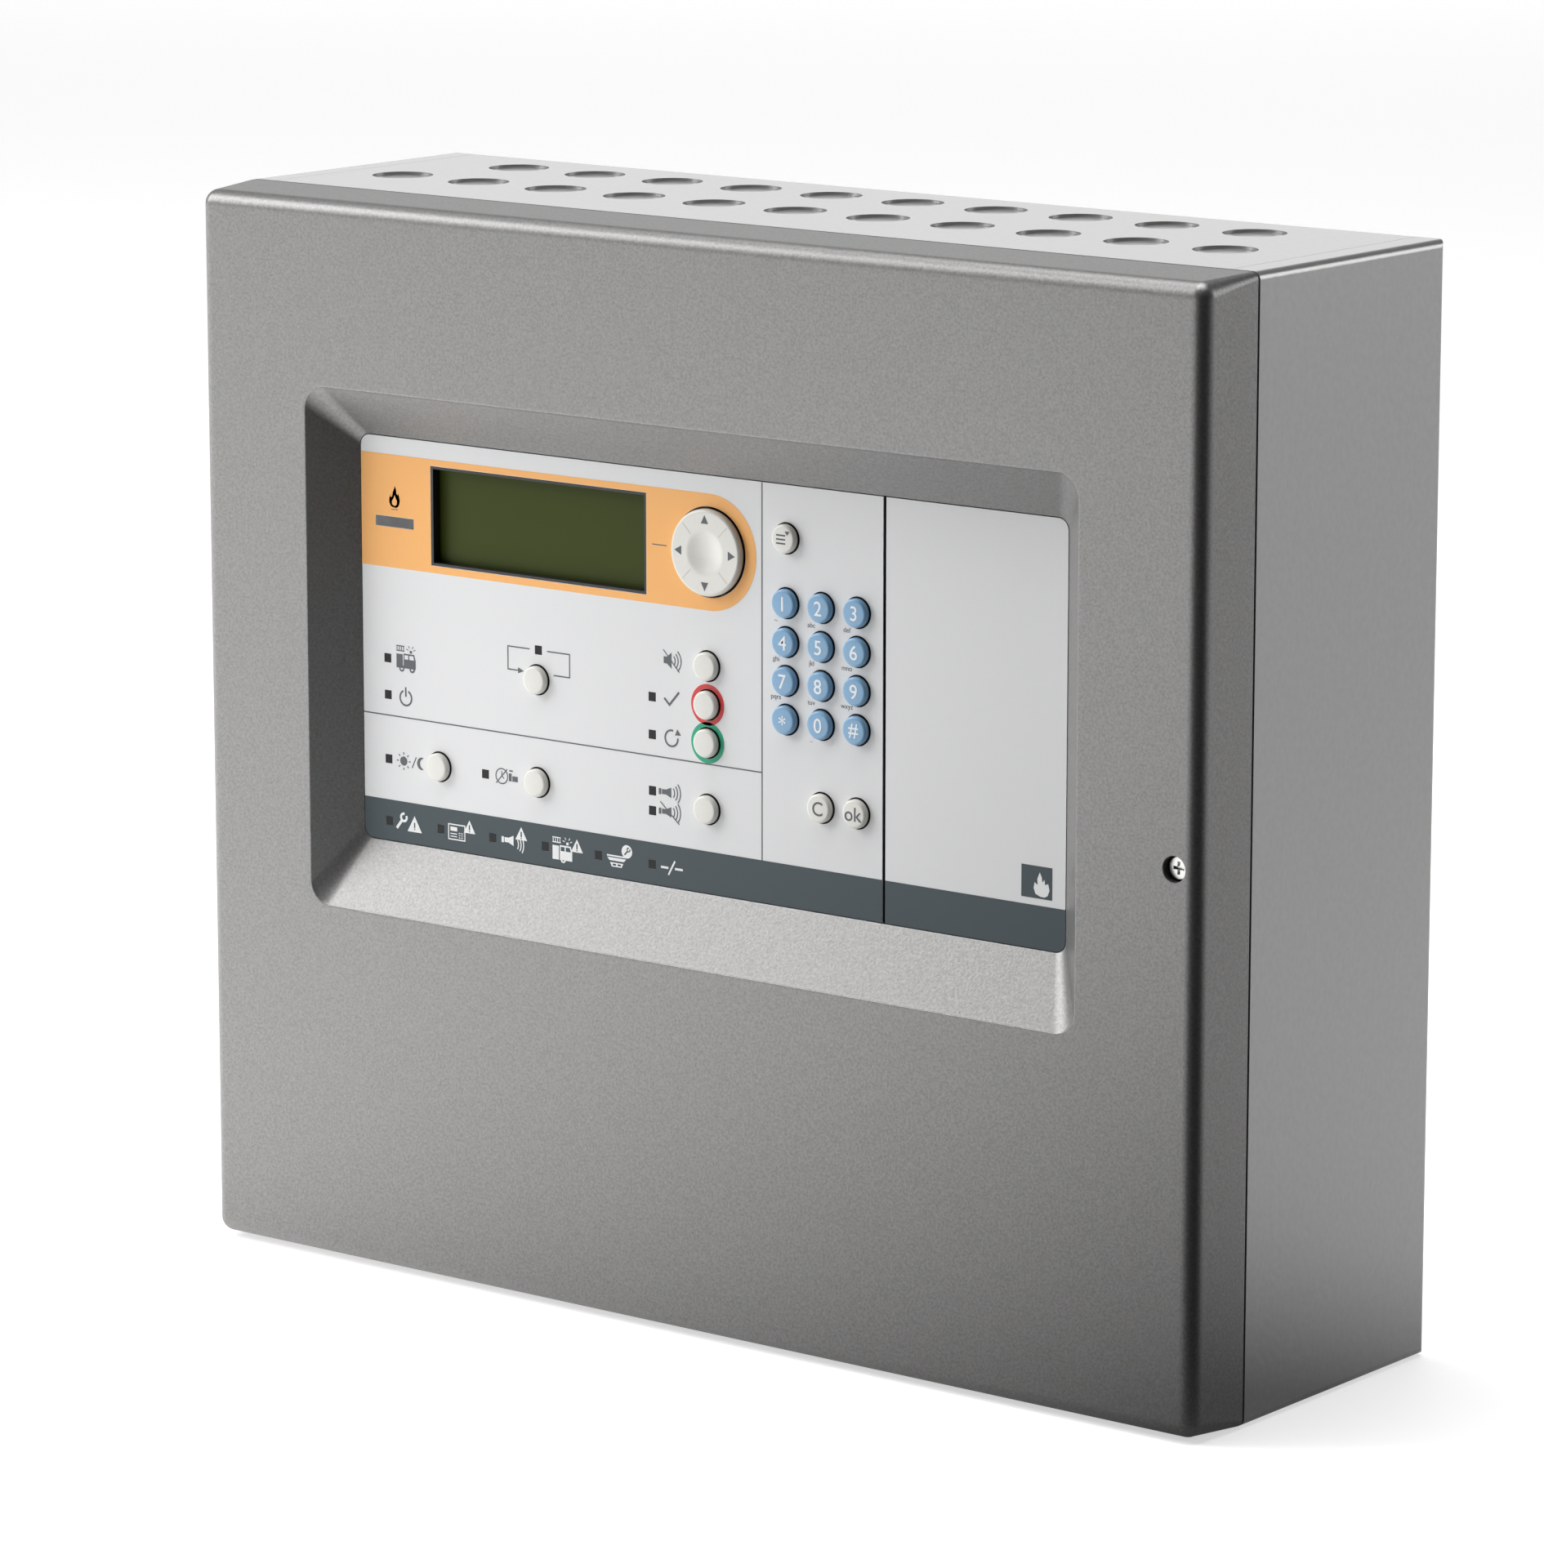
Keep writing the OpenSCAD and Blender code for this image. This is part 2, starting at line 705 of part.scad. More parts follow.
// A cap with a rounded top edge and a collar that stays behind the plate
module button_cap() {
    r = key_d / 2;
    top = -key_face_y;
    back = -(collar_y + collar_t);
    translate([0, 0, 0]) rotate([90, 0, 0]) rotate_extrude() {
        translate([0, back]) square([r, top - key_edge_r - back]);
        translate([0, top - key_edge_r]) square([r - key_edge_r, key_edge_r]);
        translate([r - key_edge_r, top - key_edge_r]) intersection() {
            circle(key_edge_r, $fn = 32);
            square(key_edge_r);
        }
        translate([0, back]) square([r + key_collar, collar_t]);
    }
}

module button_at(p) {
    translate([p[0], 0, panel_z + p[1]]) button_cap();
}

module keypad_key(i) {
    color(key_blue) button_at(keypad_places[i]);
}

module panel_button(i) {
    color(cap_white) button_at(button_places[i]);
}

// ---------------------------------------------------------------- navigation pad

// Ball that the pad rocks on
module nav_stem() {
    color(zinc) translate([nav_x, nav_pivot_y, panel_z + nav_z]) {
        sphere(ball_r);
        rotate([-90, 0, 0]) cylinder(r = 0.7, h = board_y - nav_pivot_y);
    }
}

module nav_pad() {
    r = nav_d / 2;
    top = -(panel_y - nav_rise);
    rim_y = -(nav_pivot_y + nav_rim_t / 2);
    edge = 1;
    dish_r = 7;
    dish_ball = (dish_r * dish_r + nav_dish * nav_dish) / (2 * nav_dish);
    color(cap_white) translate([nav_x, 0, panel_z + nav_z]) rotate([90, 0, 0]) difference() {
        rotate_extrude() {
            translate([0, rim_y]) square([r, top - edge - rim_y]);
            translate([0, top - edge]) square([r - edge, edge]);
            translate([r - edge, top - edge]) intersection() {
                circle(edge, $fn = 32);
                square(edge);
            }
            translate([0, rim_y]) square([r + nav_rim, nav_rim_t]);
        }
        translate([0, 0, top - nav_dish + dish_ball]) sphere(dish_ball);
        translate([0, 0, rim_y - over]) cylinder(r = ball_r + 0.2, h = nav_rim_t / 2 + ball_r + 0.2 + over);
        translate([0, 0, rim_y - over]) difference() {
            cylinder(r = r - 1.6, h = nav_rim_t + 1.6 + over);
            cylinder(r = ball_r + 2, h = nav_rim_t + 1.6 + over);
        }
    }
}

// ---------------------------------------------------------------- cover screw

module cover_screw() {
    slot = 1;
    color(zinc) difference() {
        screw_with_head(screw_x, 0, head_face_y, screw_tip_y, screw_d / 2, screw_head_d / 2, screw_head_h);
        slab(head_face_y - over, head_face_y + 1.3) translate([screw_x, 0]) {
            square([slot, 4], center = true);
            square([4, slot], center = true);
        }
    }
}

// Clip washer on the shank, behind the floor of the well
module screw_retainer() {
    y = well_floor_y + well_floor_t + 0.1;
    color(black) slab(y, y + retainer_t) translate([screw_x, 0]) difference() {
        circle(screw_d / 2 + 1.6);
        circle(screw_d / 2 + pin_clear);
    }
}

// ---------------------------------------------------------------- main board

stud_x = half_w - 40;
stud_z = 62;
stud_r = 2.5;
socket_x = -125;
socket_z = -8;
ribbon_w = 26;
ribbon_t = 1;
buzzer_x = 40;
buzzer_z = -56;

module main_board() {
    color(board_green) slab(main_face_y, main_y) difference() {
        translate([main_x, main_z]) square([board_w, board_h]);
        for (p = main_screws) translate(p) circle(1.7);
    }
}

module board_standoffs() {
    color(brass) slab(main_y, rear_in_y) for (p = main_screws) translate(p) difference() {
        circle(3.2, $fn = 6);
        circle(1.4);
    }
}

module board_screws() {
    color(zinc) for (p = main_screws)
        screw_with_head(p[0], p[1], main_face_y - 1.8, main_y + 5, 1.4, 2.8, 1.8);
}

// Plug-in terminals along the top of the main board, one group for each circuit
module terminal_blocks() {
    n = 6;
    ways = 7;
    pitch = 5;
    w = ways * pitch;
    gap = (board_w - 2 * 14 - n * w) / (n - 1);
    color(terminal_green) for (i = [0:n - 1]) translate([main_x + 14 + i * (w + gap), 0, main_z + board_h - 26])
        difference() {
            block([0, main_face_y - 14, 0], [w, main_face_y, 13]);
            for (k = [0:ways - 1]) {
                translate([(k + 0.5) * pitch, main_face_y - 12, 7]) rotate([90, 0, 0]) cylinder(r = 1.6, h = 5);
                block([(k + 0.5) * pitch - 1.5, main_face_y - 7, 10], [(k + 0.5) * pitch + 1.5, main_face_y - 4, 14]);
            }
        }
}

module relays() {
    color(black) for (i = [0:3]) translate([main_x + 30 + i * 24, 0, main_z + 16])
        block([0, main_face_y - 15, 0], [16, main_face_y, 28]);
}

// Plug-in processor board with its chip and the ribbon socket beside it
module processor_module() {
    x = main_x + 150;
    z = main_z + 24;
    color(black) {
        block([x, main_face_y - 3, z], [x + 90, main_face_y, z + 60]);
        block([x + 30, main_face_y - 5, z + 16], [x + 58, main_face_y - 3, z + 44]);
        block([main_x + 10, main_face_y - 7, main_socket_z - ribbon_w / 2 - 2],
              [main_x + 17, main_face_y, main_socket_z + ribbon_w / 2 + 2]);
    }
}

main_socket_z = panel_z + socket_z;

// ---------------------------------------------------------------- power supply

module psu_tray() {
    x1 = psu_x + psu_w;
    color(zinc) difference() {
        block([psu_x, rear_in_y - psu_d, psu_z], [x1, rear_in_y, psu_z + psu_h]);
        block([psu_x + psu_wall, rear_in_y - psu_d - over, psu_z - over],
              [x1 - psu_wall, rear_in_y - psu_wall, psu_z + psu_h + over]);
    }
}

module psu_board() {
    y = rear_in_y - psu_wall - 5;
    x = psu_x + psu_wall + 1;
    w = psu_w - 2 * psu_wall - 2;
    color(board_green) {
        block([x, y - board_t, psu_z + 2], [x + w, y, psu_z + psu_h - 2]);
        // Spacers, transformer, heat sink, two capacitors and the terminals
        for (sx = [6, w - 6]) for (sz = [8, psu_h - 8])
            slab(y, rear_in_y - psu_wall) translate([x + sx, psu_z + sz]) circle(3);
        block([x + 18, y - board_t - 24, psu_z + 60], [x + 50, y - board_t, psu_z + 92]);
        block([x + 4, y - board_t - 26, psu_z + 30], [x + 8, y - board_t, psu_z + 110]);
        for (k = [0, 1]) slab(y - board_t - 26, y - board_t) translate([x + 26 + k * 24, psu_z + 36]) circle(9);
        block([x + 6, y - board_t - 12, psu_z + psu_h - 18], [x + w - 6, y - board_t, psu_z + psu_h - 4]);
    }
}

// Perforated lid, folded over the tray's ends
module psu_cover() {
    y = rear_in_y - psu_d - psu_wall;
    x = psu_x;
    rows = 11;
    columns = 6;
    px = psu_w / (columns + 1);
    pz = (psu_h - 34) / (rows + 1);
    color(zinc) difference() {
        union() {
            block([x, y, psu_z], [x + psu_w, y + psu_wall, psu_z + psu_h - 22]);
            block([x + psu_wall + fit, y, psu_z], [x + psu_w - psu_wall - fit, y + 20, psu_z + psu_wall]);
        }
        slab(y - over, y + psu_wall + over) for (i = [1:columns]) for (k = [1:rows])
            translate([x + i * px, psu_z + k * pz]) circle(2.4);
    }
}

module mains_terminal() {
    x = psu_x + 14;
    z = psu_z + psu_h + 14;
    color(cap_white) difference() {
        union() {
            block([x, rear_in_y - 16, z], [x + 36, rear_in_y, z + 20]);
            // Fuse holder
            translate([x + 46, rear_in_y - 8, z - 2]) cylinder(r = 6, h = 24);
            block([x + 36, rear_in_y - 6, z + 4], [x + 44, rear_in_y, z + 16]);
            block([x + 40, rear_in_y - 6, z - 2], [x + 52, rear_in_y, z + 22]);
        }
        for (k = [0:2]) translate([x + 6 + k * 12, rear_in_y - 12, z + 10]) rotate([90, 0, 0])
            cylinder(r = 2.6, h = 5);
    }
}

module earth_stud() {
    color(brass) {
        slab(-20, -0.3) translate([stud_x, stud_z]) circle(stud_r);
        slab(rear_in_y - 4, rear_in_y) translate([stud_x, stud_z]) circle(4.6, $fn = 6);
        slab(rear_in_y - 10, rear_in_y - 6) translate([stud_x, stud_z]) circle(4.6, $fn = 6);
    }
}

// ---------------------------------------------------------------- batteries

blade_y = battery_y - battery_d / 2;
blade_in = 12;
battery_top = floor_z + fit + battery_h;

module battery(x) {
    color(battery_grey) {
        difference() {
            block([x, battery_y - battery_d, floor_z + fit], [x + battery_w, battery_y, battery_top]);
            for (s = [-1, 1]) translate([x + battery_w / 2, battery_y - battery_d / 2 + s * battery_d / 2, battery_top])
                cube([battery_w + 2 * over, 3, 3], center = true);
        }
        for (b = [blade_in, battery_w - blade_in])
            block([x + b - blade_w / 2, blade_y - blade_t / 2, battery_top],
                  [x + b + blade_w / 2, blade_y + blade_t / 2, battery_top + blade_h]);
    }
}

// Steel strap across both batteries, screwed to the left wall and folded back to the rear wall
module battery_strap() {
    z0 = floor_z + battery_h * 0.55;
    z1 = z0 + 20;
    y = battery_y - battery_d - fit;
    x1 = battery_right_x + battery_w + 2;
    color(zinc) {
        block([-half_w + sheet + fit, y - 1.5, z0], [x1 + 1.5, y, z1]);
        block([x1, y, z0], [x1 + 1.5, rear_in_y, z1]);
        block([-half_w + sheet + fit, y, z0], [-half_w + sheet + fit + 1.5, y + 14, z1]);
    }
}

// ---------------------------------------------------------------- leads

function unit(v) = v / norm(v);
// A point of the smooth curve through p1 and p2, at t from 0 to 1
function curve_point(p0, p1, p2, p3, t) =
    0.5 * (2 * p1 + (p2 - p0) * t + (2 * p0 - 5 * p1 + 4 * p2 - p3) * t * t
    + (3 * p1 - p0 - 3 * p2 + p3) * t * t * t);
function smooth_route(p, steps) = concat(
    [for (i = [0:len(p) - 2]) for (k = [0:steps - 1])
        curve_point(p[max(i - 1, 0)], p[i], p[i + 1], p[min(i + 2, len(p) - 1)], k / steps)],
    [p[len(p) - 1]]
);
function tangent(p, i) = unit(p[min(i + 1, len(p) - 1)] - p[max(i - 1, 0)]);
// Each ring's first direction, carried along so that the tube doesn't twist
function carry(p, i, u) = unit(u - tangent(p, i) * (u * tangent(p, i)));
function sides_of(p, i, u) = i == 0 ? carry(p, 0, u) : carry(p, i, sides_of(p, i - 1, u));

module lead(points, r) {
    n = 8;
    route = smooth_route(points, 3);
    m = len(route);
    rings = [for (i = [0:m - 1]) let (u = sides_of(route, i, [0.31, 0.87, 0.38]), v = cross(tangent(route, i), u))
        for (k = [0:n - 1]) route[i] + r * (cos(360 * k / n) * u + sin(360 * k / n) * v)];
    sides = [for (i = [0:m - 2]) for (k = [0:n - 1])
        [i * n + k, (i + 1) * n + k, (i + 1) * n + (k + 1) % n, i * n + (k + 1) % n]];
    polyhedron(rings, concat([[for (k = [0:n - 1]) k]], sides, [[for (k = [0:n - 1]) m * n - 1 - k]]));
}

lead_r = 1.3;
lead_start = battery_top + blade_h + 0.5;
lead_top_z = battery_top + 25;
psu_terminal_y = rear_in_y - psu_wall - 5 - board_t - 12;
psu_top_z = psu_z + psu_h - 2;
black_points = [
    [battery_left_x + blade_in, blade_y, lead_start],
    [battery_left_x + blade_in, blade_y, lead_start + 8],
    [battery_left_x + blade_in + 14, blade_y, lead_top_z],
    [battery_right_x, blade_y, lead_top_z],
    [psu_x - 36, blade_y, lead_top_z],
    [psu_x - 13, blade_y, lead_top_z + 6],
    [psu_x - 7, blade_y + 4, lead_top_z + 30],
    [psu_x - 5, blade_y + 8, psu_top_z + 8],
    [psu_x + 8, psu_terminal_y - 4, psu_top_z + 19],
    [psu_x + 22, psu_terminal_y + 4, psu_top_z + 13],
    [psu_x + 24, psu_terminal_y + 6, psu_top_z + 1]
];
red_points = [
    [battery_right_x + battery_w - blade_in, blade_y, lead_start],
    [battery_right_x + battery_w - blade_in, blade_y - 1, lead_start + 7],
    [psu_x - 14, blade_y - 8, lead_top_z - 2],
    [psu_x - 7, blade_y - 8, lead_top_z + 30],
    [psu_x - 4, blade_y - 5, psu_top_z + 8],
    [psu_x + 18, psu_terminal_y - 8, psu_top_z + 18],
    [psu_x + 33, psu_terminal_y + 2, psu_top_z + 11],
    [psu_x + 36, psu_terminal_y + 6, psu_top_z + 1]
];
link_points = [
    [battery_left_x + battery_w - blade_in, blade_y, lead_start],
    [battery_left_x + battery_w - blade_in, blade_y, lead_start + 6],
    [battery_right_x - battery_gap / 2, blade_y, lead_start + 11],
    [battery_right_x + blade_in, blade_y, lead_start + 6],
    [battery_right_x + blade_in, blade_y, lead_start]
];

module battery_leads() {
    color("firebrick") lead(red_points, lead_r);
    color(black) lead(black_points, lead_r);
    color(black) lead(link_points, lead_r);
}

// Flat cable from the operating board round the hinge side to the main board
module ribbon_cable() {
    y0 = board_back_y + 5.2;
    y1 = main_face_y - 7.2;
    x0 = socket_x;
    x1 = main_x + 13.5;
    bend = 8;
    mid_y = (y0 + y1) / 2;
    color(rubber_grey) translate([0, 0, main_socket_z - ribbon_w / 2]) linear_extrude(ribbon_w) {
        translate([x0 - ribbon_t / 2, y0]) square([ribbon_t, mid_y - bend - y0]);
        quarter(x0 - bend, mid_y - bend, bend, 0);
        translate([x1 + bend, mid_y - ribbon_t / 2]) square([x0 - x1 - 2 * bend, ribbon_t]);
        quarter(x1 + bend, mid_y + bend, bend, 180);
        translate([x1 - ribbon_t / 2, mid_y + bend]) square([ribbon_t, y1 - mid_y - bend]);
    }
}

// A quarter turn of the flat cable about x, y
module quarter(x, y, r, angle) {
    translate([x, y]) rotate(angle) intersection() {
        difference() {
            circle(r + ribbon_t / 2);
            circle(r - ribbon_t / 2);
        }
        square(2 * r);
    }
}

back_box();
top_plate();
knockout_discs();
hinge_brackets();
hinge_pins();
lock_nut();
earth_stud();
main_board();
board_standoffs();
board_screws();
terminal_blocks();
relays();
processor_module();
psu_tray();
psu_board();
psu_cover();
mains_terminal();
battery(battery_left_x);  // battery_left
battery(battery_right_x);  // battery_right
battery_strap();
battery_leads();
ribbon_cable();
front_cover();
panel_plate();
blank_plate();
light_windows();
alarm_light_bar();
lcd_frame();
lcd_glass();
lcd_module();
key_mat();
operating_board();
operating_board_screws();
buzzer();
screw_retainer();
cover_screw();
keypad_key(0);  // key_1
keypad_key(1);  // key_2
keypad_key(2);  // key_3
keypad_key(3);  // key_4
keypad_key(4);  // key_5
keypad_key(5);  // key_6
keypad_key(6);  // key_7
keypad_key(7);  // key_8
keypad_key(8);  // key_9
keypad_key(9);  // key_star
keypad_key(10);  // key_0
keypad_key(11);  // key_hash
panel_button(0);  // menu_button
panel_button(1);  // clear_button
panel_button(2);  // ok_button
panel_button(3);  // loop_button
panel_button(4);  // silence_button
panel_button(5);  // acknowledge_button
panel_button(6);  // reset_button
panel_button(7);  // day_night_button
panel_button(8);  // delay_off_button
panel_button(9);  // sounder_button
nav_stem();
nav_pad();
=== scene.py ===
import json
import math

import bmesh
import bpy
from mathutils import Matrix, Vector


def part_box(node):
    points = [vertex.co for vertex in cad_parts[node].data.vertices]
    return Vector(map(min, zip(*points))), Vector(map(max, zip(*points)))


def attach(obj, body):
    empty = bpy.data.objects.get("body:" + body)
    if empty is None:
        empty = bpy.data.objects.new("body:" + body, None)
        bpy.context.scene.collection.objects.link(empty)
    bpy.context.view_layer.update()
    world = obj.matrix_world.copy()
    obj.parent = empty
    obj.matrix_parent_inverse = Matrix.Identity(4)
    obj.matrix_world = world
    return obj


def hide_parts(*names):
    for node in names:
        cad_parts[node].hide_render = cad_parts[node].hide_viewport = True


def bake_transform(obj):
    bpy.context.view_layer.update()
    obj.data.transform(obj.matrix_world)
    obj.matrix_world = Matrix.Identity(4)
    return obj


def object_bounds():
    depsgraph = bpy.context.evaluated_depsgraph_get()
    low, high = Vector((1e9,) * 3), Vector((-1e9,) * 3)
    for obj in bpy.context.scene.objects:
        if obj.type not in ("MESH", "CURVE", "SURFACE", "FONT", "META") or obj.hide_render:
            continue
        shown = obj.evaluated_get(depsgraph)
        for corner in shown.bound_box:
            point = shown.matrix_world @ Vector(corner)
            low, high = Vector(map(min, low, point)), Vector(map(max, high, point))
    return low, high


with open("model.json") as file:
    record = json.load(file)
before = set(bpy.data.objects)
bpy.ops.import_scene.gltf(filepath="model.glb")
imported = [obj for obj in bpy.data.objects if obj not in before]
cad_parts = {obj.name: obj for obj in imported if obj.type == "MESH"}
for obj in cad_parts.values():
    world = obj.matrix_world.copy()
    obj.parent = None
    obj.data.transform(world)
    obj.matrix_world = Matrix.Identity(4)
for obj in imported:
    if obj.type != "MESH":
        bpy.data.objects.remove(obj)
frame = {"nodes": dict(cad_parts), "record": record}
cad_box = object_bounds()

# ------------------------------------------------------------------ camera, floor and lights
# A camera to the right of the cabinet and a little above it, a pale studio floor under the cabinet,
# and large soft lights at the left, above and behind, with a dark side at the camera's right.
mm = 0.001
scene = bpy.context.scene
yaw = 0.6634
pitch = 0.1998
distance = 2.2142
aim = Vector((-0.0033, -0.0752, -0.0067))
forward = Vector((-math.sin(yaw) * math.cos(pitch), math.cos(yaw) * math.cos(pitch), -math.sin(pitch)))
camera_data = bpy.data.cameras.new("camera")
camera = bpy.data.objects.new("camera", camera_data)
scene.collection.objects.link(camera)
camera_data.lens = 157.06
camera_data.sensor_width = 36
camera_data.clip_start = 0.05
camera.location = aim - forward * distance
camera.rotation_euler = forward.to_track_quat("-Z", "Y").to_euler()
scene.camera = camera
scene.view_settings.view_transform = "Standard"


def new_object(name, mesh):
    piece = bpy.data.objects.new(name, mesh)
    scene.collection.objects.link(piece)
    return piece


def floor_paint():
    """Bright and even as seen; to reflections and bounce light it glows as painted light, bright at the left
    and behind, fading to dark towards the right front.
    """
    material = bpy.data.materials.new("floor paint")
    material.use_nodes = True
    nodes = material.node_tree.nodes
    links = material.node_tree.links
    paint = nodes["Principled BSDF"]
    paint.inputs["Base Color"].default_value = (0.85, 0.85, 0.85, 1)
    paint.inputs["Roughness"].default_value = 0.6
    place = nodes.new("ShaderNodeTexCoord")
    split = nodes.new("ShaderNodeSeparateXYZ")
    across = nodes.new("ShaderNodeMapRange")
    across.inputs["From Min"].default_value = -0.3
    across.inputs["From Max"].default_value = 0.25
    across.inputs["To Min"].default_value = 1.0
    across.inputs["To Max"].default_value = 0.02
    front = nodes.new("ShaderNodeMapRange")
    front.inputs["From Min"].default_value = -0.1
    front.inputs["From Max"].default_value = 0.1
    front.inputs["To Min"].default_value = 0.0
    front.inputs["To Max"].default_value = 0.45
    # Painted light: the floor's tone for all but camera rays, bright at the left, dimmer behind, dark at the
    # right front.
    tone = nodes.new("ShaderNodeMath")
    tone.operation = "MAXIMUM"
    dim = nodes.new("ShaderNodeBsdfDiffuse")
    # painted glow: lights the cabinet in the tone's colour
    painted_glow = nodes.new("ShaderNodeEmission")
    painted_glow.inputs["Strength"].default_value = 1.0
    bounce = nodes.new("ShaderNodeAddShader")
    glow = nodes.new("ShaderNodeEmission")
    glow.inputs["Color"].default_value = (1, 1, 1, 1)
    glow.inputs["Strength"].default_value = 0.55
    white = nodes.new("ShaderNodeAddShader")
    path = nodes.new("ShaderNodeLightPath")
    choose = nodes.new("ShaderNodeMixShader")
    links.new(place.outputs["Object"], split.inputs[0])
    links.new(split.outputs["X"], across.inputs["Value"])
    links.new(split.outputs["Y"], front.inputs["Value"])
    links.new(across.outputs["Result"], tone.inputs[0])
    links.new(front.outputs["Result"], tone.inputs[1])
    links.new(tone.outputs[0], dim.inputs["Color"])
    links.new(tone.outputs[0], painted_glow.inputs["Color"])
    links.new(dim.outputs[0], bounce.inputs[0])
    links.new(painted_glow.outputs[0], bounce.inputs[1])
    links.new(paint.outputs[0], white.inputs[0])
    links.new(glow.outputs[0], white.inputs[1])
    links.new(path.outputs["Is Camera Ray"], choose.inputs[0])
    links.new(bounce.outputs[0], choose.inputs[1])
    links.new(white.outputs[0], choose.inputs[2])
    links.new(choose.outputs[0], nodes["Material Output"].inputs["Surface"])
    return material


floor_z = cad_box[0][2] - 0.5 * mm
floor_reach = 40
floor_corners = [(x * floor_reach, y * floor_reach, floor_z) for x, y in ((-1, -1), (1, -1), (1, 1), (-1, 1))]
floor = new_object("floor", bpy.data.meshes.new("floor"))
floor.data.from_pydata(floor_corners, [], [(0, 1, 2, 3)])
floor.data.materials.append(floor_paint())


def soft_light(name, azimuth, elevation, reach, width, height, watts):
    """A rectangular light that faces the cabinet; azimuth counts from the front towards the right."""
    data = bpy.data.lights.new(name, "AREA")
    data.shape = "RECTANGLE"
    data.size = width
    data.size_y = height
    data.energy = watts
    light = bpy.data.objects.new(name, data)
    scene.collection.objects.link(light)
    a = math.radians(azimuth)
    e = math.radians(elevation)
    away = Vector((math.sin(a) * math.cos(e), -math.cos(a) * math.cos(e), math.sin(e)))
    light.location = away * reach
    light.rotation_euler = away.to_track_quat("Z", "Y").to_euler()


soft_light("left front light", -61, 30, 3.6, 1.9, 2.2, 97)
soft_light("top light", -60, 84, 1.8, 1.4, 1.4, 34)
soft_light("left rear light", -142, 12, 7.0, 6.6, 3.2, 80)
soft_light("right rear light", 142, 14, 6.5, 3.9, 2.8, 112)

world = bpy.data.worlds.new("studio")
scene.world = world
world.use_nodes = True
world_nodes = world.node_tree.nodes
world_links = world.node_tree.links
world_nodes.clear()
world_out = world_nodes.new("ShaderNodeOutputWorld")
seen = world_nodes.new("ShaderNodeBackground")
seen.inputs["Color"].default_value = (0.96, 0.96, 0.96, 1)
seen.inputs["Strength"].default_value = 1.0
ambient = world_nodes.new("ShaderNodeBackground")
ambient.inputs["Color"].default_value = (0.9, 0.95, 1.0, 1)
ambient.inputs["Strength"].default_value = 0.015
choose = world_nodes.new("ShaderNodeMixShader")
light_path = world_nodes.new("ShaderNodeLightPath")
world_links.new(light_path.outputs["Is Camera Ray"], choose.inputs[0])
world_links.new(ambient.outputs[0], choose.inputs[1])
world_links.new(seen.outputs[0], choose.inputs[2])
world_links.new(choose.outputs[0], world_out.inputs["Surface"])

# ------------------------------------------------------------------ finishes
# One material for each finish on the panel. Grain and orange peel come from a shared group, painted shade in
# the gaps at the panel's face from edge_shade; both read the object's own coordinates, the group gives a
# value and a normal.


def grain_group():
    """Uneven tone and a bumpy normal from one noise, at a chosen size."""
    group = bpy.data.node_groups.new("surface grain", "ShaderNodeTree")
    for label, kind, value in (
        ("Size per metre", "NodeSocketFloat", 900.0),
        ("Detail", "NodeSocketFloat", 2.0),
        ("Depth", "NodeSocketFloat", 0.00002),
    ):
        socket = group.interface.new_socket(label, in_out="INPUT", socket_type=kind)
        socket.default_value = value
    group.interface.new_socket("Tone", in_out="OUTPUT", socket_type="NodeSocketFloat")
    group.interface.new_socket("Normal", in_out="OUTPUT", socket_type="NodeSocketVector")
    nodes = group.nodes
    links = group.links
    inside = nodes.new("NodeGroupInput")
    outside = nodes.new("NodeGroupOutput")
    place = nodes.new("ShaderNodeTexCoord")
    noise = nodes.new("ShaderNodeTexNoise")
    bump = nodes.new("ShaderNodeBump")
    bump.inputs["Strength"].default_value = 1.0
    links.new(place.outputs["Object"], noise.inputs["Vector"])
    links.new(inside.outputs["Size per metre"], noise.inputs["Scale"])
    links.new(inside.outputs["Detail"], noise.inputs["Detail"])
    links.new(inside.outputs["Depth"], bump.inputs["Distance"])
    links.new(noise.outputs["Fac"], bump.inputs["Height"])
    links.new(noise.outputs["Fac"], outside.inputs["Tone"])
    links.new(bump.outputs["Normal"], outside.inputs["Normal"])
    return group


grain = grain_group()


def finish(name, color, roughness, metallic, size, depth, vary, detail=2.0, coat=0.0, specular=0.5):
    """A material with the shared grain: vary is the change of tone, depth the height of its bumps."""
    material = bpy.data.materials.new(name)
    material.use_nodes = True
    nodes = material.node_tree.nodes
    links = material.node_tree.links
    shader = nodes["Principled BSDF"]
    shader.inputs["Roughness"].default_value = roughness
    shader.inputs["Metallic"].default_value = metallic
    shader.inputs["Specular IOR Level"].default_value = specular
    shader.inputs["Coat Weight"].default_value = coat
    shader.inputs["Coat Roughness"].default_value = 0.12
    group = nodes.new("ShaderNodeGroup")
    group.node_tree = grain
    group.inputs["Size per metre"].default_value = size
    group.inputs["Detail"].default_value = detail
    group.inputs["Depth"].default_value = depth
    ramp = nodes.new("ShaderNodeValToRGB")
    low = [c * (1 - vary) for c in color]
    high = [min(1.0, c * (1 + vary)) for c in color]
    ramp.color_ramp.elements[0].position = 0.3
    ramp.color_ramp.elements[0].color = (*low, 1)
    ramp.color_ramp.elements[1].position = 0.7
    ramp.color_ramp.elements[1].color = (*high, 1)
    links.new(group.outputs["Tone"], ramp.inputs["Fac"])
    links.new(ramp.outputs["Color"], shader.inputs["Base Color"])
    links.new(group.outputs["Normal"], shader.inputs["Normal"])
    return material


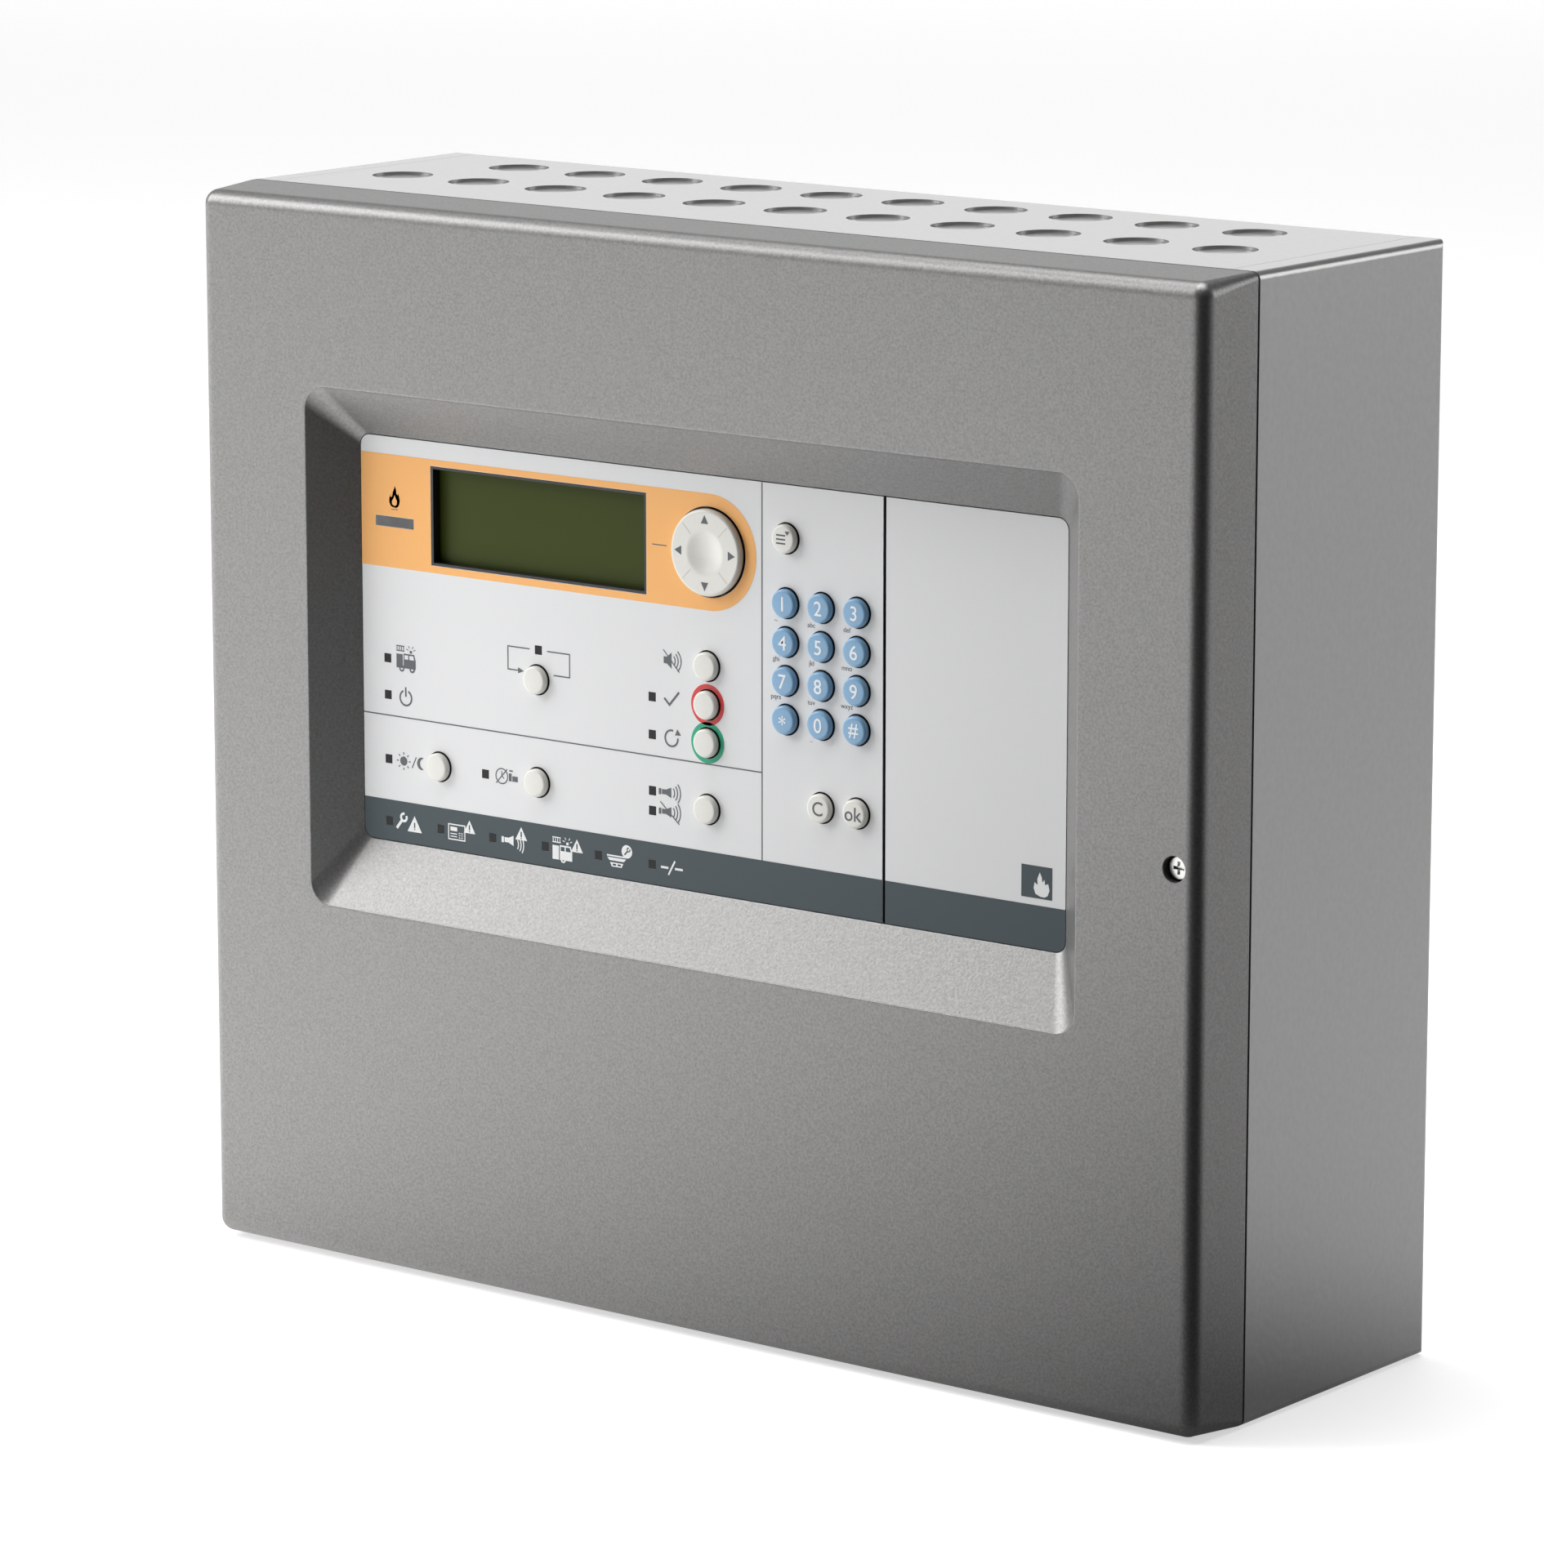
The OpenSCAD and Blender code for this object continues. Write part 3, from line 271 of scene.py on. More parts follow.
def edge_shade(material, start, end):
    """Paints shade into a finish: darkens it to near black from depth start to depth end and all behind, for
    the gaps at the panel's face.
    """
    nodes = material.node_tree.nodes
    links = material.node_tree.links
    shader = nodes["Principled BSDF"]
    source = shader.inputs["Base Color"].links[0].from_socket
    place = nodes.new("ShaderNodeTexCoord")
    split = nodes.new("ShaderNodeSeparateXYZ")
    depth = nodes.new("ShaderNodeMapRange")
    depth.inputs["From Min"].default_value = start
    depth.inputs["From Max"].default_value = end
    mix = nodes.new("ShaderNodeMix")
    mix.data_type = "RGBA"
    # painted shade: the near black that the shaded gaps are given
    mix.inputs[7].default_value = (0.01, 0.01, 0.01, 1)
    links.new(place.outputs["Object"], split.inputs[0])
    links.new(split.outputs["Y"], depth.inputs["Value"])
    links.new(depth.outputs["Result"], mix.inputs[0])
    links.new(source, mix.inputs[6])
    links.new(mix.outputs[2], shader.inputs["Base Color"])


cover_paint = finish(
    "cover paint", (0.235, 0.233, 0.229), 0.42, 0.75, 1200, 0.00004, 0.16, 4.0, specular=0.25
)
box_paint = finish("box paint", (0.38, 0.38, 0.376), 0.34, 0.6, 420, 0.00006, 0.03, 1.0, 0.35)
panel_foil = finish("panel foil", (0.80, 0.805, 0.81), 0.50, 0.0, 2500, 0.000006, 0.01)
zinc_plate = finish("zinc plate", (0.72, 0.72, 0.70), 0.32, 0.95, 260, 0.00001, 0.12, 5.0)
brass_metal = finish("brass", (0.78, 0.58, 0.28), 0.28, 1.0, 500, 0.00001, 0.08)
board_green = finish("board lacquer", (0.02, 0.12, 0.06), 0.32, 0.0, 350, 0.00001, 0.15, 3.0, 0.4)
terminal_plastic = finish("terminal plastic", (0.03, 0.24, 0.09), 0.42, 0.0, 900, 0.00001, 0.05)
black_plastic = finish("black plastic", (0.012, 0.012, 0.013), 0.42, 0.0, 900, 0.00002, 0.10)
white_plastic = finish("white plastic", (0.78, 0.78, 0.75), 0.40, 0.0, 900, 0.00001, 0.02)
battery_plastic = finish("battery case", (0.035, 0.038, 0.045), 0.48, 0.0, 1300, 0.00003, 0.10)
lead_red = finish("red sheath", (0.42, 0.02, 0.015), 0.38, 0.0, 400, 0.00001, 0.04)
lead_black = finish("black sheath", (0.015, 0.015, 0.016), 0.38, 0.0, 400, 0.00001, 0.04)
ribbon_plastic = finish("ribbon sheath", (0.42, 0.42, 0.41), 0.45, 0.0, 300, 0.00001, 0.03)
rubber = finish("silicone rubber", (0.40, 0.40, 0.38), 0.60, 0.0, 900, 0.00001, 0.04)
white_cap_plastic = finish("white cap", (0.80, 0.79, 0.74), 0.34, 0.0, 900, 0.000006, 0.01, 2.0, 0.15)
blue_cap_plastic = finish("blue cap", (0.22, 0.42, 0.64), 0.34, 0.0, 900, 0.000006, 0.02, 2.0, 0.15)
lens_plastic = finish("dark lens", (0.016, 0.017, 0.018), 0.42, 0.0, 900, 0.000004, 0.02, specular=0.2)
bar_plastic = finish("light bar lens", (0.05, 0.05, 0.055), 0.16, 0.0, 60, 0.0, 0.6)
lcd_face = finish("display glass", (0.046, 0.062, 0.007), 0.40, 0.0, 12, 0.0, 0.05, specular=0.12)
orange_ink = finish("orange ink", (0.99, 0.49, 0.145), 0.48, 0.0, 2500, 0.000006, 0.01)
slate_ink = finish("slate ink", (0.031, 0.053, 0.064), 0.48, 0.0, 2500, 0.000006, 0.03)
line_ink = finish("grey ink", (0.10, 0.11, 0.12), 0.48, 0.0, 2500, 0.000006, 0.02)
white_ink = finish("white ink", (0.86, 0.87, 0.87), 0.48, 0.0, 2500, 0.000006, 0.01)
red_ink = finish("red ink", (0.68, 0.03, 0.025), 0.45, 0.0, 2500, 0.000006, 0.01)
green_ink = finish("green ink", (0.0, 0.38, 0.20), 0.45, 0.0, 2500, 0.000006, 0.01)
# painted shade: the colour of the lines that stand for the rocker's grooves
groove_shade_ink = finish("groove shade ink", (0.62, 0.60, 0.52), 0.48, 0.0, 2500, 0.000006, 0.01)
key_ink = finish("key ink", (0.90, 0.93, 0.95), 0.40, 0.0, 2500, 0.000006, 0.01)

panel_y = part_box("panel_plate")[0][1]
# Painted shade: the panel's hole walls and the split between its two plates go dark from 0.1 mm behind its
# face, and the sides of the caps and the rocker go dark from 0.6 mm in front of the plate, a painted shadow
# round their bases.
edge_shade(panel_foil, panel_y + 0.1 * mm, panel_y + 0.6 * mm)
edge_shade(white_cap_plastic, panel_y - 0.6 * mm, panel_y - 0.2 * mm)
edge_shade(blue_cap_plastic, panel_y - 0.6 * mm, panel_y - 0.2 * mm)

slot_finish = {
    "box_paint": box_paint,
    "cover_plastic": cover_paint,
    "zinc": zinc_plate,
    "brass": brass_metal,
    "circuit_board": board_green,
    "terminal_plastic": terminal_plastic,
    "black_plastic": black_plastic,
    "white_plastic": white_plastic,
    "battery_case": battery_plastic,
    "lead_sheath": lead_red,
    "ribbon": ribbon_plastic,
    "panel_foil": panel_foil,
    "dark_lens": lens_plastic,
    "lcd_glass": lcd_face,
    "silicone": rubber,
    "blue_cap": blue_cap_plastic,
    "white_cap": white_cap_plastic,
}
for part in frame["record"]["subparts"]:
    node_object = frame["nodes"][part["node"]]
    node_object.data.materials.clear()
    node_object.data.materials.append(slot_finish[part["material_slot"]])
frame["nodes"]["alarm_light_bar"].data.materials[0] = bar_plastic

# ------------------------------------------------------------------ front cover
# The moulded grey cover: thin walls that lean in a little, soft front edges, the sloping recess around
# the panel and the well of its screw. It hangs on the hinge bosses inside its left side.
front_y = cad_box[0][1]
half_w = cad_box[1][0]
half_h = cad_box[1][2]
cover_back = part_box("front_cover")[1][1]
panel_w = 286 * mm
panel_h = 135.6 * mm
panel_z = 32.4 * mm
recess_top = 16.1 * mm
recess_bottom = 21.7 * mm
recess_side = 12.5 * mm
wall = 2.2 * mm
edge_r = 5 * mm


def mesh_from(name, build):
    """A mesh made by build(bm), with every face turned outwards."""
    bm = bmesh.new()
    build(bm)
    bmesh.ops.recalc_face_normals(bm, faces=bm.faces)
    mesh = bpy.data.meshes.new(name)
    bm.to_mesh(mesh)
    bm.free()
    return mesh


def rounded(w, h, r, z, y, steps=10):
    """Points round a rectangle with round corners, in X and Z, at depth y."""
    points = []
    for sx, sz, start in ((1, 1, 0), (-1, 1, 90), (-1, -1, 180), (1, -1, 270)):
        for i in range(steps + 1):
            a = math.radians(start + 90 * i / steps)
            x = sx * (w / 2 - r) + r * math.cos(a)
            points.append((x, y, z + sz * (h / 2 - r) + r * math.sin(a)))
    return points


def loft(bm, loops, closed):
    """Joins loops of equal length with quads; closed joins the last to the first."""
    rings = [[bm.verts.new(p) for p in loop] for loop in loops]
    n = len(rings[0])
    pairs = list(zip(rings, rings[1:]))
    if closed:
        pairs.append((rings[-1], rings[0]))
    for a, b in pairs:
        for i in range(n):
            bm.faces.new((a[i], a[(i + 1) % n], b[(i + 1) % n], b[i]))
    if not closed:
        bm.faces.new(rings[0])
        bm.faces.new(rings[-1])


def lathe(bm, profile, steps, place):
    """Turns a closed profile of (radius, along) points; place gives each point's final position."""
    turn = 2 * math.pi / steps
    rings = []
    for r, along in profile:
        if r < 1e-7:
            rings.append([bm.verts.new(place(0, 0, along))])
        else:
            rings.append([
                bm.verts.new(place(r * math.cos(turn * k), r * math.sin(turn * k), along))
                for k in range(steps)
            ])
    for a, b in zip(rings, rings[1:] + rings[:1]):
        for k in range(steps):
            j = (k + 1) % steps
            if len(a) == 1 and len(b) == 1:
                break
            if len(a) == 1:
                bm.faces.new((a[0], b[j], b[k]))
            elif len(b) == 1:
                bm.faces.new((a[k], a[j], b[0]))
            else:
                bm.faces.new((a[k], a[j], b[j], b[k]))


def smooth_edges(piece, angle):
    """Smooth shading that keeps flat faces flat and edges over the angle sharp."""
    for face in piece.data.polygons:
        face.use_smooth = True
    piece.data.set_sharp_from_angle(angle=math.radians(angle))
    weigh = piece.modifiers.new("weigh", "WEIGHTED_NORMAL")
    weigh.keep_sharp = True
    weigh.weight = 100


def settle(piece):
    """Applies the piece's modifiers."""
    depsgraph = bpy.context.evaluated_depsgraph_get()
    done = bpy.data.meshes.new_from_object(
        piece.evaluated_get(depsgraph), preserve_all_data_layers=True, depsgraph=depsgraph
    )
    piece.modifiers.clear()
    piece.data = done


def finished(piece, surface, angle, body):
    """Gives a piece its material and shading, and hangs it on a moving body."""
    piece.data.materials.append(surface)
    smooth_edges(piece, angle)
    settle(piece)
    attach(piece, body)


def outer(inset, y, r):
    return rounded(2 * (half_w - inset), 2 * (half_h - inset), max(r, 0.25 * mm), 0, y)


def recess_loop(t, grow, y, r):
    """Between the recess's edge on the front face (t = 0) and the panel's opening (t = 1)."""
    w = panel_w + 2 * recess_side * (1 - t)
    h = panel_h + (recess_top + recess_bottom) * (1 - t)
    z = panel_z + (recess_top - recess_bottom) / 2 * (1 - t)
    return rounded(w + 2 * grow, h + 2 * grow, r, z, y)


cover_h = 26
straight_h = 21
lean = 0.8 * mm * cover_h / straight_h
plate_back = panel_y + 2 * mm
cover_loops = [
    outer(0.35 * mm, cover_back, 2.3 * mm),
    outer(0.08 * mm, cover_back - 0.12 * mm, 2.4 * mm),
    outer(0, cover_back - 0.4 * mm, 2.5 * mm),
    outer(lean - 0.02 * mm, front_y + edge_r + 0.4 * mm, edge_r),
]
for i in range(13):
    a = math.radians(90 * i / 12)
    cover_loops.append(
        outer(lean + edge_r * (1 - math.cos(a)), front_y + edge_r * (1 - math.sin(a)), edge_r * math.cos(a))
    )
cover_loops += [
    outer(lean + edge_r + 0.6 * mm, front_y, 0.3 * mm),
    recess_loop(0, 0.9 * mm, front_y, 8.9 * mm),
    recess_loop(0, 0.4 * mm, front_y, 8.4 * mm),
    recess_loop(0, 0.17 * mm, front_y + 0.04 * mm, 8.2 * mm),
    recess_loop(0, 0.0 * mm, front_y + 0.13 * mm, 8.0 * mm),
    recess_loop(0, -0.22 * mm, front_y + 0.36 * mm, 7.9 * mm),
    recess_loop(0, -0.6 * mm, front_y + 0.76 * mm, 7.8 * mm),
    recess_loop(1, 0.3 * mm, panel_y - 0.3 * mm, 4.1 * mm),
    recess_loop(1, 0.0 * mm, panel_y, 4 * mm),
    recess_loop(1, 0.0 * mm, plate_back, 4 * mm),
    recess_loop(1, 3 * mm, plate_back, 7 * mm),
    recess_loop(0, 2.6 * mm, front_y + wall, 9 * mm),
    outer(lean + edge_r + 0.6 * mm, front_y + wall, 0.3 * mm),
]
for i in range(6, -1, -1):
    a = math.radians(90 * i / 6)
    r = edge_r - wall
    cover_loops.append(
        outer(lean + edge_r - r * math.cos(a), front_y + edge_r - r * math.sin(a), r * math.cos(a))
    )
cover_loops += [
    outer(wall, cover_back - 0.4 * mm, 0.4 * mm),
    outer(wall - 0.3 * mm, cover_back, 0.5 * mm),
]
cover = new_object("cover_shell", mesh_from("cover_shell", lambda bm: loft(bm, cover_loops, True)))

screw_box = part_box("cover_screw")
screw_x = (screw_box[0][0] + screw_box[1][0]) / 2
well_r = 4.05 * mm
lip = 0.3 * mm


def in_front(x, z):
    """Places a lathe's axis along Y through x, z; the profile's second number is the depth."""
    return lambda u, v, along: (x + u, along, z + v)


cut_start = front_y - 1 * mm
cut_end = front_y + 4 * mm
cut_profile = [(0, cut_start), (well_r + lip, cut_start), (well_r + lip, cut_end), (0, cut_end)]
cutter = new_object("well cutter", mesh_from(
    "well cutter", lambda bm: lathe(bm, cut_profile, 48, in_front(screw_x, 0))
))
cut = cover.modifiers.new("well", "BOOLEAN")
cut.object = cutter
cut.operation = "DIFFERENCE"
cut.solver = "EXACT"
settle(cover)
bpy.data.objects.remove(cutter)
finished(cover, cover_paint, 34, "door")
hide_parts("front_cover")

well_floor = front_y + 7.3 * mm
well_profile = [
    (well_r + lip, front_y),
    (well_r + 0.1 * mm, front_y + 0.05 * mm),
    (well_r, front_y + 0.25 * mm),
    (well_r, well_floor),
    (2.15 * mm, well_floor),
    (2.15 * mm, well_floor + 1.5 * mm),
    (well_r + 1.9 * mm, well_floor + 1.5 * mm),
    (well_r + 1.9 * mm, front_y + wall),
    (well_r + lip, front_y + wall),
]
well = new_object("screw_well", mesh_from(
    "screw_well", lambda bm: lathe(bm, well_profile, 48, in_front(screw_x, 0))
))
finished(well, cover_paint, 34, "door")

# ------------------------------------------------------------------ hinge bosses
# Four bosses moulded inside the cover's left side, above and below each steel knuckle, each on a rib to
# the front wall. The pins turn in them.
pin_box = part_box("hinge_pins")
pin_x = (pin_box[0][0] + pin_box[1][0]) / 2
pin_y = (pin_box[0][1] + pin_box[1][1]) / 2
boss_h = 6 * mm
boss_r = 3.0 * mm
boss_bore = 1.56 * mm
for index, centre in enumerate((-129.3, -110.7, 110.7, 129.3)):

    def boss(bm, z=centre * mm):
        c = 0.3 * mm
        ring = [
            (boss_bore, -boss_h / 2), (boss_r - c, -boss_h / 2), (boss_r, -boss_h / 2 + c),
            (boss_r, boss_h / 2 - c), (boss_r - c, boss_h / 2), (boss_bore, boss_h / 2),
        ]
        lathe(bm, ring, 32, lambda u, v, along: (pin_x + u, pin_y + v, z + along))
        rib_front = front_y + wall / 2
        rib = [
            (pin_x - 1.2 * mm, rib_front), (pin_x + 1.2 * mm, rib_front),
            (pin_x + 1.2 * mm, pin_y - 2.6 * mm), (pin_x - 1.2 * mm, pin_y - 2.6 * mm),
        ]
        loft(bm, [[(x, y, z - boss_h / 2) for x, y in rib], [(x, y, z + boss_h / 2) for x, y in rib]], False)

    piece = new_object(f"hinge_boss_{index + 1}", mesh_from(f"hinge_boss_{index + 1}", boss))
    finished(piece, cover_paint, 34, "door")

# ------------------------------------------------------------------ knock-outs
# Twenty-one steel discs in the top plate's holes, pressed in a little with a rolled edge and held by two
# short webs. One disc is modelled and a node tree sets it at each hole.


def copies_tree():
    """Puts a piece at each point of the mesh, as one mesh with one material."""
    tree = bpy.data.node_groups.new("copies at points", "GeometryNodeTree")
    tree.interface.new_socket("Points", in_out="INPUT", socket_type="NodeSocketGeometry")
    tree.interface.new_socket("Piece", in_out="INPUT", socket_type="NodeSocketObject")
    tree.interface.new_socket("Finish", in_out="INPUT", socket_type="NodeSocketMaterial")
    tree.interface.new_socket("Turn", in_out="INPUT", socket_type="NodeSocketFloat")
    tree.interface.new_socket("Smallest", in_out="INPUT", socket_type="NodeSocketFloat")
    tree.interface.new_socket("Pieces", in_out="OUTPUT", socket_type="NodeSocketGeometry")
    nodes = tree.nodes
    links = tree.links
    inside = nodes.new("NodeGroupInput")
    outside = nodes.new("NodeGroupOutput")
    info = nodes.new("GeometryNodeObjectInfo")
    info.transform_space = "ORIGINAL"
    place = nodes.new("GeometryNodeInstanceOnPoints")
    size = nodes.new("FunctionNodeRandomValue")
    size.data_type = "FLOAT"
    turn = nodes.new("FunctionNodeRandomValue")
    turn.data_type = "FLOAT"
    axis = nodes.new("ShaderNodeCombineXYZ")
    back = nodes.new("ShaderNodeMath")
    back.operation = "MULTIPLY"
    back.inputs[1].default_value = -1.0
    real = nodes.new("GeometryNodeRealizeInstances")
    paint = nodes.new("GeometryNodeSetMaterial")
    links.new(inside.outputs["Piece"], info.inputs["Object"])
    links.new(inside.outputs["Points"], place.inputs["Points"])
    links.new(info.outputs["Geometry"], place.inputs["Instance"])
    links.new(inside.outputs["Smallest"], size.inputs[2])
    size.inputs[3].default_value = 1.0
    links.new(size.outputs[1], place.inputs["Scale"])
    links.new(inside.outputs["Turn"], back.inputs[0])
    links.new(back.outputs[0], turn.inputs[2])
    links.new(inside.outputs["Turn"], turn.inputs[3])
    links.new(turn.outputs[1], axis.inputs["Y"])
    links.new(axis.outputs[0], place.inputs["Rotation"])
    links.new(place.outputs["Instances"], real.inputs["Geometry"])
    links.new(real.outputs["Geometry"], paint.inputs["Geometry"])
    links.new(inside.outputs["Finish"], paint.inputs["Material"])
    links.new(paint.outputs["Geometry"], outside.inputs["Pieces"])
    return tree


copies = copies_tree()


def set_out(name, points, build, surface, body, turn=0.0, smallest=1.0, angle=40):
    """A piece made of copies of one small mesh, one at each point."""
    pattern = new_object(name + "_pattern", mesh_from(name + "_pattern", build))
    for face in pattern.data.polygons:
        face.use_smooth = True
    pattern.data.set_sharp_from_angle(angle=math.radians(angle))
    places = bpy.data.meshes.new(name)
    places.from_pydata([tuple(p) for p in points], [], [])
    piece = new_object(name, places)
    modifier = piece.modifiers.new("copies", "NODES")
    modifier.node_group = copies
    sockets = {s.name: s.identifier for s in copies.interface.items_tree if s.in_out == "INPUT"}
    modifier[sockets["Piece"]] = pattern
    modifier[sockets["Finish"]] = surface
    modifier[sockets["Turn"]] = turn
    modifier[sockets["Smallest"]] = smallest
    settle(piece)
    bpy.data.objects.remove(pattern)
    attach(piece, body)
    return piece


knock_r = 10.2 * mm
knock_pitch = 33.2 * mm
knock_depth = 1.05 * mm
knock_points = [(-3 * mm + (i - 5) * knock_pitch, -63.5 * mm, half_h) for i in range(11)]
knock_points += [(-3 * mm + (i - 4.5) * knock_pitch, -23 * mm, half_h) for i in range(10)]


def knock_disc(bm):
    r = knock_r - 0.35 * mm
    top = -knock_depth
    profile = [(0, top - 0.12 * mm), (r * 0.55, top - 0.10 * mm), (r * 0.85, top - 0.02 * mm)]
    for k in range(5):
        a = math.radians(90 * k / 4)
        profile.append((r - 0.5 * mm * (1 - math.sin(a)), top - 0.5 * mm * (1 - math.cos(a))))
    profile += [(r, top - 1 * mm), (0, top - 1 * mm)]
    lathe(bm, profile, 48, lambda u, v, along: (u, v, along))
    for s in (-1, 1):
        x0 = s * (r - 0.8 * mm)
        x1 = s * (knock_r - 0.03 * mm)
        web = [(x0, -1 * mm), (x1, -1 * mm), (x1, 1 * mm), (x0, 1 * mm)]
        loft(bm, [[(x, y, top - 1 * mm) for x, y in web], [(x, y, top - 0.1 * mm) for x, y in web]], False)


discs = set_out("knockout_set", knock_points, knock_disc, box_paint, "cabinet")
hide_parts("knockout_discs")

# ------------------------------------------------------------------ printed panel
# Thin layers of ink on the two plates: the orange field round the display, the slate band along the
# bottom, dividing lines, button rings and small pictograms beside each indicator.
ink_y = panel_y - 0.03 * mm
ink_t = 0.02 * mm
band_top = -53.8
panel_left = -142.7
panel_right = 142.7
split_left = 72.3
split_right = 73.5


def circle(x, z, r, start=0.0, end=360.0, steps=32):
    count = steps if end - start >= 360 else steps + 1
    return [
        (x + r * math.cos(math.radians(start + (end - start) * k / steps)),
         z + r * math.sin(math.radians(start + (end - start) * k / steps)))
        for k in range(count)
    ]


def rectangle(x0, z0, x1, z1):
    return [(x0, z0), (x1, z0), (x1, z1), (x0, z1)]


def stroke(points, width, closed=False):
    """The outline or outlines of a line of even width along the points."""
    n = len(points)
    left = []
    right = []
    for i, (x, z) in enumerate(points):
        before = points[(i - 1) % n] if closed or i > 0 else points[i]
        after = points[(i + 1) % n] if closed or i < n - 1 else points[i]
        ax, az = x - before[0], z - before[1]
        bx, bz = after[0] - x, after[1] - z
        la = math.hypot(ax, az) or 1.0
        lb = math.hypot(bx, bz) or 1.0
        if i == 0 and not closed:
            ax, az, la = bx, bz, lb
        if i == n - 1 and not closed:
            bx, bz, lb = ax, az, la
        tx, tz = ax / la + bx / lb, az / la + bz / lb
        lt = math.hypot(tx, tz) or 1.0
        nx, nz = -tz / lt, tx / lt
        reach = width / 2 / max(0.35, nx * -az / la + nz * ax / la)
        left.append((x + nx * reach, z + nz * reach))
        right.append((x - nx * reach, z - nz * reach))
    if closed:
        return [left, right]
    return [left + right[::-1]]


def moved(shapes, x, z, scale=1.0):
    return [[(x + scale * px, z + scale * pz) for px, pz in shape] for shape in shapes]


def inside(point, shape):
    """Whether a point lies within an outline."""
    hit = False
    for (x0, z0), (x1, z1) in zip(shape, shape[1:] + shape[:1]):
        if (z0 > point[1]) != (z1 > point[1]) and point[0] < x0 + (x1 - x0) * (point[1] - z0) / (z1 - z0):
            hit = not hit
    return hit


def filled(shapes):
    """Sorts outlines into filled shapes, each with the holes that lie within it."""
    around = [
        [k for k, other in enumerate(shapes) if k != i and all(inside(p, other) for p in shape)]
        for i, shape in enumerate(shapes)
    ]
    groups = []
    for i, holders in enumerate(around):
        if len(holders) % 2 == 0:
            depth = len(holders) + 1
            holes = [shapes[k] for k in range(len(shapes)) if i in around[k] and len(around[k]) == depth]
            groups.append([shapes[i]] + holes)
    return groups


def printed(name, shapes, ink, body="door", y=ink_y, thickness=ink_t):
    """One thin layer of ink from outlines in millimetres, counted from the panel's middle."""
    curves = []
    for group in filled(shapes):
        curve = bpy.data.curves.new(name, "CURVE")
        curve.dimensions = "2D"
        curve.fill_mode = "BOTH"
        curve.extrude = thickness / 2
        for shape in group:
            spline = curve.splines.new("POLY")
            spline.points.add(len(shape) - 1)
            for point, (x, z) in zip(spline.points, shape):
                point.co = (x * mm, z * mm, 0, 1)
            spline.use_cyclic_u = True
        curves.append(curve)
    return ink_piece(name, curves, ink, body, y, thickness)


def ink_piece(name, curves, ink, body, y, thickness):
    """Lays filled curves on the panel; shapes that cross lie a hair apart in depth."""
    bm = bmesh.new()
    for index, curve in enumerate(curves):
        source = new_object(name + "_outline", curve)
        depsgraph = bpy.context.evaluated_depsgraph_get()
        flat = bpy.data.meshes.new_from_object(source.evaluated_get(depsgraph))
        bpy.data.objects.remove(source)
        depth = y - thickness / 2 - 0.002 * mm * (index % 5)
        flat.transform(Matrix.Translation((0, depth, panel_z)) @ Matrix.Rotation(math.radians(90), 4, "X"))
        bm.from_mesh(flat)
        bpy.data.meshes.remove(flat)
    bmesh.ops.remove_doubles(bm, verts=bm.verts, dist=1e-7)
    bmesh.ops.recalc_face_normals(bm, faces=bm.faces)
    mesh = bpy.data.meshes.new(name)
    bm.to_mesh(mesh)
    bm.free()
    mesh.materials.clear()
    mesh.materials.append(ink)
    piece = new_object(name, mesh)
    if body:
        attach(piece, body)
    return piece


def lettered(name, text, x, z, height, ink, y, thickness=ink_t, body=None, bold=0.0):
    """Plain letters or digits, centred on x, z, in millimetres from the panel's middle."""
    curve = bpy.data.curves.new(name, "FONT")
    curve.body = text
    curve.size = height * mm
    curve.align_x = "CENTER"
    curve.align_y = "CENTER"
    curve.extrude = thickness / 2
    curve.offset = bold * mm
    piece = ink_piece(name, [curve], ink, None, y, thickness)
    low = [min(v.co[k] for v in piece.data.vertices) for k in (0, 2)]
    high = [max(v.co[k] for v in piece.data.vertices) for k in (0, 2)]
    piece.data.transform(Matrix.Translation((
        x * mm - (low[0] + high[0]) / 2, 0, panel_z + z * mm - (low[1] + high[1]) / 2,
    )))
    if body:
        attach(piece, body)
    return piece


nav_x = 3.4
nav_z = 43.0
field_r = 18.75
field = [(panel_left, nav_z - field_r), (nav_x + 0.2, nav_z - field_r)]
field += circle(nav_x + 0.2, nav_z, field_r, -90, 90, 40)[1:-1]
field += [(nav_x + 0.2, nav_z + field_r), (panel_left, nav_z + field_r)]
display_hole = rectangle(-112.7, 26.6, -22.1, 59.6)
bar_hole = rectangle(-136.6, 37.6, -120.0, 41.2)
nav_hole = circle(nav_x, nav_z, 14.65, 0, 360, 64)
printed("orange_field", [field, display_hole, bar_hole, nav_hole], orange_ink)

led_x = [-132 + 22.36 * i for i in range(6)]
led_half = 1.52
band_z = -61.0
led_holes = [rectangle(x - led_half, band_z - led_half, x + led_half, band_z + led_half) for x in led_x]
band_left = [(panel_left, band_top), (panel_left, -64)]
band_left += circle(panel_left + 3.7, -63.8, 3.7, 180, 270, 8)
band_left += [(split_left, -67.5), (split_left, band_top)]
printed("band_left", [band_left] + led_holes, slate_ink)
band_right = [(split_right, band_top), (split_right, -67.5), (panel_right - 3.7, -67.5)]
band_right += circle(panel_right - 3.7, -63.8, 3.7, 270, 360, 8)
band_right += [(panel_right, band_top)]
printed("band_right", [band_right], slate_ink)

lines = stroke([(24.6, 67.4), (24.6, band_top)], 0.42)
lines += stroke([(panel_left, -25.4), (24.4, -25.4)], 0.42)
lines += stroke([(-19.8, 43.3), (-13.8, 43.3)], 0.35)
printed("panel_lines", lines, line_ink)

def ring(z):
    return [circle(2.7, z, 6.7, 0, 360, 64), circle(2.7, z, 5.2, 0, 360, 64)]


printed("red_ring", ring(-6.2), red_ink)
printed("green_ring", ring(-18.5), green_ink)

